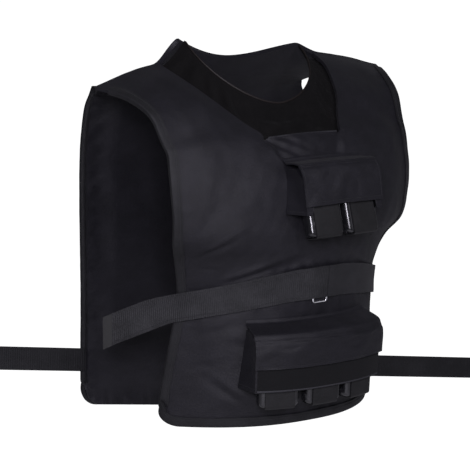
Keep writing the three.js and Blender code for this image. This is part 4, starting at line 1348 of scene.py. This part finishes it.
@dataclass(frozen=True)
class Pouch:
    """A weight pouch on the front: wall, flap, weights and elastic loops, with sizes as in the solids.

    Fields:
        title: first word of its pieces' names.
        middle, half: place across and half width.
        top, fold, flap: drops of its seam and of its flap's fold and edge.
        hem, foot: drops of its hem and of the weights' feet.
        depth, neck: how far it stands off the front at the fold and at the seam.
        flare, skirt: how much wider and longer the gussets are at the hem.
        skirt_reach: share of the half width over which the hem comes up from the skirt.
        skirt_stand: how far the skirt stands off for its length.
        drawn_in, gusset_fold: how far the front's hollows and the gussets' middles lie in.
        lift, crease: heights of the flap's soft dents and ridges and of its fold's crease.
        weight_corner, weight_rim: radii of a weight's corners and rims.
        loop_turn: radius of a loop's turns.
        pitch: from one weight to the next.
        play: room behind a weight.
        taper, mouth: where the wall begins to narrow, and how far it ends below the seam.
        loop_front, loop_back: how far a loop shows in front and reaches up behind.
    """

    title: str
    middle: float
    half: float
    top: float
    fold: float
    flap: float
    hem: float
    foot: float
    depth: float
    weights: int
    weight_height: float
    neck: float
    flare: float
    skirt: float
    weight_width: float = 65.0
    weight_depth: float = 22.0
    weight_corner: float = 8.0
    weight_rim: float = 3.0
    loop_turn: float = 3.6
    pitch: float = 71.0
    loop_width: float = 48.0
    loop_wall: float = 1.6
    play: float = 0.6
    taper: float = 0.75
    mouth: float = 10.0
    flap_seam: float = 5.0
    skirt_reach: float = 0.2
    skirt_stand: float = 0.17
    loop_front: float = 12.0
    loop_back: float = 24.0
    drawn_in: float = 0.9
    gusset_fold: float = 2.2
    lift: float = 0.8
    crease: float = 0.9

    def stitch(self, name: str, path: Array, normal: Array) -> None:
        """A row of stitches in the pouch's thread."""
        Stitches(3.0).sew(f"{self.title}_{name}", path, normal, NYLON_THREAD)

    def wall(self) -> None:
        """Gusset, curved front and gusset, drawn in a little between its seams."""
        rows, front, gusset = 44, 110, 16
        v = np.linspace(0, 1, rows)[:, None]
        narrow = np.clip((v - self.taper) / (1 - self.taper), 0, 1)
        deep = lerp(self.depth, self.neck, narrow) - CLOTH - FIT
        out = np.concatenate([np.linspace(0, 1, gusset, endpoint=False), np.ones(front),
                              np.linspace(1, 0, gusset + 1)[1:]])[None, :]
        across = np.pad(np.linspace(-1, 1, front), gusset, "edge")[None, :]
        off = lerp(GUSSET_SEAT, deep, out)
        outer = ease((np.abs(across) - 1 + self.skirt_reach) / 0.06)
        drop = lerp(self.hem + self.skirt * outer, self.top + self.mouth, v)
        off = off + self.skirt_stand * self.skirt * outer * (1 - v) * (out > 0.999)
        x = self.middle + across * (self.half + self.flare * (1 - out) * (1 - v))
        folded = np.sin(out * math.pi) * (np.abs(across) > 0.999) * self.gusset_fold
        hollow = waves(x, drop, 71, (30, 70)) * (np.abs(across) < 0.98) * np.sin(v * math.pi)
        off, drop, x = np.broadcast_arrays(off - np.maximum(hollow, 0) * self.drawn_in, drop, x)
        x = x - np.sign(across) * folded * np.sin(v * math.pi)
        grid = off_front(x, drop, off, SPLAY)
        Maker.cloth(f"{self.title}_wall", grid, CLOTH, NYLON, (f"{self.title}_pouch",), "gathered",
                    ("front_padding",))
        row = 3
        self.stitch("hem_stitch", grid[row], grid_normals(grid)[row])

    def flap_sheet(self) -> None:
        """Sewn edge, rounded fold and hanging face, with soft dents and a stitched hem."""
        stations = Sections("drop off", [
            (self.flap, self.depth), (lerp(self.fold, self.flap, 0.66), self.depth + 0.6),
            (lerp(self.fold, self.flap, 0.33), self.depth + 0.8), (self.fold + 5, self.depth),
            (self.fold - 1, self.depth - 4),
            (lerp(self.top, self.fold, 0.55), lerp(self.neck, self.depth, 0.62)),
            (lerp(self.top, self.fold, 0.22), self.neck * 0.62 + CLOTH + 2),
            (self.top, SEWN + CLOTH), (self.top - self.flap_seam, SEWN - FIT),
        ])
        v = np.linspace(0, stations.last, 70)[:, None]
        s = stations.at(v)
        u = np.linspace(-1, 1, 130)[None, :]
        x = self.middle + u * (self.half + CLOTH)
        fold_row = 4.0
        hanging = 1 - ease((v - fold_row + 0.6) / 1.5)
        soft = waves(x * 1.2, v * 18, 81 + self.weights, (24, 60), 8)
        ridge = bell(v, fold_row, 0.8) * waves(x, 0.0, 91, (40, 90), 5)
        crease = self.crease * bell(v, fold_row - 0.1, 0.25)
        dip = hanging * self.lift * soft + ridge * 0.9
        off = s["off"] + CLOTH + FIT + np.clip(dip, -0.3, 1.6) + crease
        drop = s["drop"] + ridge * self.lift
        grid = off_front(*np.broadcast_arrays(x, drop, off), SPLAY)
        Maker.cloth(f"{self.title}_cover", grid, CLOTH, NYLON, (f"{self.title}_flap",), "hung",
                    ("front_padding",))
        path, lift = (np.concatenate([values[45:3:-1, 3], values[3, 3:-3], values[3:45, -4]])
                      for values in (grid, grid_normals(grid)))
        self.stitch("cover_stitch", path, lift)

    def seat(self, number: int) -> tuple[Array, Array]:
        """Where a weight hangs: upright behind the pouch's front, turned and leaned as the front is there.

        Args:
            number: which weight, from the wearer's right.

        Returns:
            The middle of its foot, and its axes across, aft and up as columns.
        """
        across = self.middle + (number - (self.weights - 1) / 2) * self.pitch
        behind = self.depth - 2 * CLOTH - 2 * FIT - self.loop_wall - self.play - self.weight_depth / 2
        sides = np.array([-0.5, 0.5]) * self.loop_width + across
        hem = off_front(sides, np.full(2, self.hem), behind, SPLAY)
        head = off_front(sides, np.full(2, self.foot - self.weight_height), behind, SPLAY)
        turn = math.atan2(hem[1, 1] - hem[0, 1], hem[1, 0] - hem[0, 0])
        rise = head.mean(axis=0) - hem.mean(axis=0)
        foot = hem.mean(axis=0) + rise * (self.hem - self.foot) / rise[2]
        forward = rise[1] * math.cos(turn) - rise[0] * math.sin(turn)
        lean = math.atan2(-forward, rise[2])
        c, s = math.cos(turn), math.sin(turn)
        about_z = np.array([[c, -s, 0], [s, c, 0], [0, 0, 1]])
        c, s = math.cos(lean), math.sin(lean)
        about_x = np.array([[1, 0, 0], [0, c, -s], [0, s, c]])
        return foot, about_z @ about_x

    def block(self) -> Array:
        """A block with round upright edges and soft rims.

        Returns:
            Rings of points from foot to head.
        """
        corner, soft = self.weight_corner, self.weight_rim
        points = 7
        around = corner_turns(points)
        w, d = self.weight_width / 2 - corner, self.weight_depth / 2 - corner
        centre_x, centre_y = np.repeat([w, -w, -w, w], points), np.repeat([d, d, -d, -d], points)
        rim = np.linspace(0, math.pi / 2, 5)
        drawn = np.concatenate([soft * (1 - np.sin(rim)), np.zeros(8), soft * (1 - np.cos(rim))])
        height = np.concatenate([soft * (1 - np.cos(rim)), np.linspace(soft, corner, 6)[1:],
                                 np.linspace(corner, self.weight_height - soft, 5)[1:-1],
                                 self.weight_height - soft + soft * np.sin(rim)])
        radius = corner - drawn[:, None]
        rounded = np.sign(centre_x)[None] * corner_lift(height, corner)[:, None]
        return np.stack(np.broadcast_arrays(centre_x[None] - rounded + radius * np.cos(around)[None],
                                            centre_y[None] + radius * np.sin(around)[None],
                                            height[:, None]), axis=-1)

    def strap_section(self) -> Array:
        """Middle line of an elastic loop: down the weight's face, round its foot and up behind.

        Returns:
            Points fore and up, from the foot's middle.
        """
        near = self.weight_depth / 2 + FIT + self.loop_wall / 2
        low = -FIT - self.loop_wall / 2
        front = self.foot - self.hem + self.loop_front
        turn = np.linspace(math.pi, 1.5 * math.pi, 8)
        r = self.loop_turn
        return np.concatenate([
            np.stack([np.full(14, -near), np.linspace(front, low + r, 14)], axis=-1),
            np.stack([-near + r + r * np.cos(turn), low + r + r * np.sin(turn)], axis=-1)[1:],
            np.stack([near - r - r * np.cos(turn[::-1]), low + r + r * np.sin(turn[::-1])], axis=-1),
            np.stack([np.full(8, near), np.linspace(low + r, self.loop_back, 8)], axis=-1)[1:],
        ])

    def weight(self, number: int) -> None:
        """Makes one weight and its elastic loop.

        Args:
            number: which weight, from the wearer's right.
        """
        foot, axes = self.seat(number)
        rings = self.block() @ axes.T + foot
        name = f"{self.title}_weight_{number + 1}"
        Maker.tube(f"{name}_block", rings, False, COAT, (name,), 50.0)
        line = self.strap_section()
        across = np.linspace(-0.5, 0.5, 30) * self.loop_width
        crown = 0.5 * (1 - (across / (self.loop_width / 2))**4)
        tangent = np.gradient(line, axis=0)
        outward = unit(np.stack([tangent[:, 1], -tangent[:, 0]], axis=-1)) * -1.0
        outward = outward * np.sign(np.sum(outward * (line - line.mean(axis=0)), axis=-1, keepdims=True))

        def skin(extra: float) -> Array:
            """One skin of the loop.

            Args:
                extra: how far it lies off the middle line.

            Returns:
                Its grid.
            """
            plane = line[:, None, :] + outward[:, None, :] * (extra + crown[None, :, None] * (extra > 0))
            x = np.broadcast_to(across[None, :], plane.shape[:2])
            return np.stack([x, plane[..., 0], plane[..., 1]], axis=-1) @ axes.T + foot

        Maker.sheet(f"{self.title}_elastic_{number + 1}", skin(self.loop_wall / 2), skin(-self.loop_wall / 2),
                    ELASTIC, (f"{self.title}_loop_{number + 1}",))

    def build(self) -> None:
        """Makes the pouch with all that is on it."""
        self.wall()
        self.flap_sheet()
        for number in range(self.weights):
            self.weight(number)


@dataclass(frozen=True)
class WaistStrip:
    """Loop-pile strip on the face of the waist pouch, under its flap.

    Fields:
        pouch: the pouch that it is sewn on.
        height, wall: its size.
        inset, side: how far it lies inside the pouch's hem and sides.
    """

    pouch: Pouch
    height: float = 46.0
    wall: float = 1.4
    inset: float = 3.0
    side: float = 2.0

    def build(self) -> None:
        """Makes the strip with a bound lower edge."""
        drop = np.linspace(self.pouch.hem - self.inset, self.pouch.hem - self.height, 24)[:, None]
        x = (self.pouch.middle + np.linspace(-1, 1, 120) * (self.pouch.half - self.side))[None, :]
        off = self.pouch.depth - CLOTH + self.wall
        grid = off_front(*np.broadcast_arrays(x, drop, off), SPLAY)
        Maker.cloth("pile_strip", grid, self.wall, PILE, ("waist_strip",), "hung", ("waist_wall",))
        edge = off_front(x[0], self.pouch.hem - 1.6, off + 0.2, SPLAY)
        band = np.stack([edge, edge + np.array([0, 0, 2.6])])
        Maker.sheet("strip_edge", band, band - grid_normals(band) * 1.2, HEM)


@dataclass(frozen=True)
class Belt:
    """Front belt in two halves, with its ring.

    Fields:
        width, wall: of the webbing.
        drop: centre line at the middle of the front.
        sag: how much lower it lies at the edges.
        tail, tail_drop, curl: free end past the front's edge, its fall and its bow.
        ring_width, wire, clear, shift: of the ring, which has slipped down.
        ease_length: length over which the belt comes down beside the ring.
        edge_turn: how far it swings clear round the back's edge.
    """

    width: float = 50.0
    wall: float = 2.2
    drop: float = 350.0
    sag: float = 31.0
    tail: float = 106.0
    tail_drop: float = 44.0
    curl: float = 12.0
    ring_width: float = 30.0
    wire: float = 3.6
    clear: float = 0.8
    shift: float = 5.0
    ease_length: float = 30.0
    edge_turn: float = 12.0

    @property
    def edge(self) -> float:
        """Half width of the front at the belt."""
        return float(FRONT.rows[4, 2]) * CHEST_HALF

    def upright(self) -> Array:
        """Steps over the belt's width where it hangs upright."""
        return np.linspace(-0.5, 0.5, RIBS)[:, None] * np.array([0, 0, self.width])

    def sag_at(self, across: Array) -> Array:
        """How much lower the belt lies than at its middle: its sag times the share across, squared."""
        return self.sag * (across / self.edge)**2

    def rung(self, across: Array, off: Array) -> Array:
        """Points over the belt's width.

        Args:
            across: distances across.
            off: distances off the front.

        Returns:
            Rows of points from the lower to the upper edge.
        """
        side = np.linspace(-0.5, 0.5, RIBS)[:, None]
        drop = self.drop + self.sag_at(across)
        return off_front(*np.broadcast_arrays(across[None, :], drop[None, :] - side * self.width, off))

    def over(self, start: float, end: float, count: int) -> Array:
        """Belt over the front, lifted where it passes over the ring.

        Args:
            start, end: distances across.
            count: points along it.

        Returns:
            Rows of points from the lower to the upper edge.
        """
        across = np.linspace(start, end, count)
        lift = self.wire + FIT
        near = ease(1 - (np.abs(across) - self.ring_width / 2 - self.wire) / self.ease_length)
        return self.rung(across, ON_PANEL + self.wall + lift * near)

    @staticmethod
    def band(name: str, node: str, grid: Array, finish: Finish, wall: float) -> Array:
        """A webbing band with thinned edges.

        Args:
            name: the piece's name.
            node: the node that it stands for.
            grid: its outer face.
            finish: what it is made of.
            wall: its thickness.

        Returns:
            Normals of the outer face.
        """
        normal = grid_normals(grid)
        edge = np.abs(np.linspace(-1, 1, len(grid)))[:, None, None]
        thin = 0.35 * ease((edge - 0.86) / 0.14)
        Maker.sheet(name, grid - normal * thin, grid - normal * (wall - thin), finish, (node,), None, 50.0)
        return normal

    def front_half(self) -> None:
        """Ribbed half with its stiff free end, folded over at the tip."""
        free, folded, sewn = 80, 10, slice(12, 230)
        over = self.over(-self.edge, self.ring_width / 2 - self.wire - FIT, 190)
        corner, middle = over[:, 0], RIBS // 2
        way = corner[middle] - over[middle, 10]
        way[2] = 0
        out = np.linspace(1, 0, free, endpoint=False)
        upright = corner[middle] + self.upright()
        tail = (lerp(corner[:, None], upright[:, None], ease(out * 2)[None, :, None])
                + unit(way) * out[None, :, None] * self.tail)
        tail[..., 0] -= self.curl * out**2
        tail[..., 2] -= self.tail_drop * out**1.2
        grid = np.concatenate([tail, over], axis=1)
        ripple = 0.8 * np.sin(out * 14.0) * (out > 0.02) * out
        grid[:, :free] += grid_normals(grid)[:, :free] * ripple[None, :, None]
        normal = self.band("ribbed_belt", "front_belt", grid, WEBBING, self.wall)
        face, lift = grid[:, :folded], normal[:, :folded]
        Maker.sheet("belt_tip", face + lift * 0.85, face + lift * 0.05, BELT_TIP)
        for number, row in enumerate((1, -2)):
            Stitches(3.4).sew(f"belt_stitch_{number + 1}", grid[row, sewn], normal[row, sewn],
                                   WEBBING_THREAD)

    def side_half(self) -> None:
        """Smooth half from the ring round the wearer's left side to the back panel."""
        over = self.over(self.ring_width / 2 - self.wire + FIT, self.edge, 130)
        low, off = self.drop + self.sag, ON_PANEL + self.wall
        sewn = [back_off(share, low, off) for share in np.linspace(0.96, 0.76, 14)]
        rim = back_off(1.0, low, off)
        turn = [rim + np.array([out, aft, 0.0]) * self.edge_turn
                for out, aft in ((1.0, -1.6), (1.0, -0.6), (0.75, 0.0))]
        line = Sections("x y z", [tuple(point) for point in (*turn, *sewn)])
        smooth = line.at(np.linspace(0, line.last, 70))
        after = np.stack([smooth["x"], smooth["y"], smooth["z"]], axis=-1)[None] + self.upright()[:, None, :]
        span = lerp(over[:, -1:], after[:, :1], np.linspace(0, 1, 62)[None, 1:-1, None])
        grid = np.concatenate([over, span, after], axis=1)
        self.band("smooth_belt", "side_belt", grid, SMOOTH_WEBBING, self.wall)

    def ring(self) -> None:
        """Round wire bent to a rectangle, standing behind the belt and following the front."""
        off = ON_PANEL + self.wire / 2
        rung = self.rung(np.zeros(1), np.array([off]))[:, 0]
        lean = unit(rung[-1] - rung[0])
        out = unit(np.cross(np.array([1.0, 0, 0]), lean))
        r, points = self.wire * 1.1, 8
        w = self.ring_width / 2 - self.wire / 2 - r
        h = self.width / 2 + self.clear + self.wire / 2 - r
        around = corner_turns(points)
        x = np.repeat([w, -w, -w, w], points) + r * np.cos(around)
        z = np.repeat([h, h, -h, -h], points) + r * np.sin(around)
        path = rung[RIBS // 2] - lean * self.shift + x[:, None] * np.array([1.0, 0, 0]) + z[:, None] * lean
        side = np.cos(around)[:, None] * np.array([1.0, 0, 0]) + np.sin(around)[:, None] * lean
        turn = np.linspace(0, math.tau, 12, endpoint=False)
        loops = path[:, None] + (side[:, None] * np.cos(turn)[None, :, None]
                                 + out[None, None] * np.sin(turn)[None, :, None]) * self.wire / 2
        Maker.tube("wire_ring", loops, True, PLATE, ("belt_ring",))

    def build(self) -> None:
        """Makes both halves and the ring."""
        self.front_half()
        self.side_half()
        self.ring()


@dataclass(frozen=True)
class Straps:
    """Webbing straps sewn on the back and pulled straight out."""

    width: float = 37.0
    wall: float = 2.2
    reach: float = 376.0
    sewn: float = 95.0
    drop: float = 532.0

    def strap(self, side: int, name: str, node: str) -> None:
        """One strap: along the back's outside, then straight in line with the back's tilt.

        Args:
            side: -1 at the wearer's right, 1 at the left.
            name: the piece's name.
            node: the node that it stands for.
        """
        edge = 1 - SEAM / BACK_HALF
        share = side * np.linspace(edge - self.sewn / BACK_HALF, 1.0, 40)
        on_back = back_off(share, self.drop, SEWN + self.wall)
        out = np.linspace(0, self.reach, 160)[1:, None]
        pulled = on_back[-1] + out * np.array([side, 0.0, -side * BACK_TILT])
        line = np.concatenate([on_back, pulled])
        line = line if side < 0 else line[::-1]
        grid = line[None] + np.linspace(-0.5, 0.5, RIBS)[:, None, None] * np.array([0, 0, self.width])
        normal = Belt.band(name, node, grid, SHADED_STRAP_WEBBING, self.wall)
        ends = slice(2, 38) if side < 0 else slice(-38, -2)
        for number, row in enumerate((1, -2)):
            Stitches(3.2).sew(f"{name}_stitch_{number + 1}", grid[row, ends], normal[row, ends],
                                   WEBBING_THREAD)

    def build(self) -> None:
        """Makes both straps."""
        self.strap(-1, "right_strap", "back_strap_right")
        self.strap(1, "left_strap", "back_strap_left")


@dataclass(frozen=True)
class Studio:
    """Floor, soft light and the camera at the photograph's angle.

    Fields:
        azimuth, elevation: of the view, in degrees.
        distance: from the point aimed at, in metres.
        focal: in pixels of the square frame.
        frame: the frame's width in pixels.
        aim_height: of the point aimed at.
        aside: pixels by which that point lies right of the middle.
        surround: strength of the light from all round.
        white: strength of the world where the camera sees it.
        floor_size, floor_drop: half width of the floor, and how far it lies below the origin.
        tint, air: colours of the lamps and of the light from all round.
    """

    azimuth: float = -38.0
    elevation: float = 9.5
    distance: float = 4.0
    focal: float = 2530.0
    frame: float = 470.0
    aim_height: float = -0.3
    aside: float = 20.0
    surround: float = 0.09
    white: float = 1.05
    floor_size: float = 30.0
    floor_drop: float = 1.35
    tint: Colour = (0.91, 0.88, 1.0)
    air: Colour = (0.93, 0.95, 1.0)

    def camera(self) -> None:
        """The camera, shifted as the photograph is framed."""
        az, el = math.radians(self.azimuth), math.radians(self.elevation)
        forward = Vector((-math.sin(az) * math.cos(el), math.cos(az) * math.cos(el), -math.sin(el)))
        data = bpy.data.cameras.new("view")
        data.sensor_width = 36.0
        data.lens = self.focal / self.frame * 36.0
        data.shift_x = -self.aside / self.frame
        data.clip_end = 60.0
        camera = bpy.data.objects.new("view", data)
        camera.location = Vector((0, 0, self.aim_height)) - forward * self.distance
        camera.rotation_euler = forward.to_track_quat("-Z", "Y").to_euler()
        bpy.context.scene.collection.objects.link(camera)
        bpy.context.scene.camera = camera

    def light(self, name: str, place: tuple[float, float, float], size: float, power: float) -> None:
        """A square soft light aimed at the vest.

        Args:
            name: the lamp's name.
            place: where it stands, in metres.
            size: its width.
            power: its energy in watts.
        """
        data = bpy.data.lights.new(name, "AREA")
        data.size = size
        data.energy = power
        data.color = self.tint
        lamp = bpy.data.objects.new(name, data)
        lamp.location = place
        toward = Vector((0, 0, self.aim_height)) - Vector(place)
        lamp.rotation_euler = toward.to_track_quat("-Z", "Y").to_euler()
        bpy.context.scene.collection.objects.link(lamp)

    def floor(self) -> None:
        """A wide pale floor well below the vest, which hangs as on a wearer."""
        data = bpy.data.meshes.new("floor")
        data.from_pydata([(a * self.floor_size, b * self.floor_size, -self.floor_drop)
                          for a, b in ((-1, -1), (1, -1), (1, 1), (-1, 1))], [], [(0, 1, 2, 3)])
        graph = Graph("floor")
        graph.set(Base_Color=(0.8, 0.8, 0.8, 1.0), Roughness=0.9, Emission_Color=(1.0, 1.0, 1.0, 1.0))
        seen = graph.add("ShaderNodeLightPath", {}, {}, "Is Camera Ray")
        graph.put(graph.shader.inputs["Emission Strength"], seen)
        data.materials.append(graph.material)
        floor = bpy.data.objects.new("floor", data)
        bpy.context.scene.collection.objects.link(floor)

    def build(self) -> None:
        """Sets up the whole studio."""
        self.camera()
        self.floor()
        world = bpy.data.worlds.new("studio")
        world.use_nodes = True
        nodes, links = world.node_tree.nodes, world.node_tree.links
        around = nodes["Background"]
        around.inputs["Color"].default_value = (*self.air, 1.0)
        around.inputs["Strength"].default_value = self.surround
        seen = nodes.new("ShaderNodeBackground")
        seen.inputs["Strength"].default_value = self.white
        choice = nodes.new("ShaderNodeMixShader")
        links.new(nodes.new("ShaderNodeLightPath").outputs["Is Camera Ray"], choice.inputs[0])
        links.new(around.outputs[0], choice.inputs[1])
        links.new(seen.outputs[0], choice.inputs[2])
        links.new(choice.outputs[0], nodes["World Output"].inputs["Surface"])
        bpy.context.scene.world = world
        bpy.context.scene.view_settings.view_transform = "Standard"
        for name, place, size, power in LAMPS:
            self.light(name, place, size, power)


CHEST = Pouch("chest", middle=14, half=73, top=163, fold=171, flap=226, hem=216, foot=275, depth=38,
              weights=2, weight_height=86, neck=26, flare=11, skirt=22)
WAIST = Pouch("waist", middle=-8, half=109, top=407, fold=428, flap=471, hem=508, foot=534, depth=42,
              weights=3, weight_height=90, neck=20, flare=9, skirt=0)
# Name, place and width in metres, and power in watts
LAMPS = (
    ("key", (-2.1, -2.6, 0.8), 0.9, 102.0),
    ("front", (-0.25, -2.4, 1.2), 0.4, 22.0),
    ("fill", (1.8, -2.8, 0.4), 1.6, 6.0),
    ("top", (0.4, 0.2, 2.6), 1.4, 2.0),
)


def main() -> None:
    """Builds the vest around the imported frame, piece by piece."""
    logging.basicConfig(level=logging.INFO, format="%(name)s %(message)s")
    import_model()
    for part in (Studio(), Panels(), Binding(), Collar(), CHEST, WAIST, WaistStrip(WAIST), Belt(), Straps()):
        part.build()
        LOG.info("built %s", type(part).__name__)


if __name__ == "__main__":
    main()
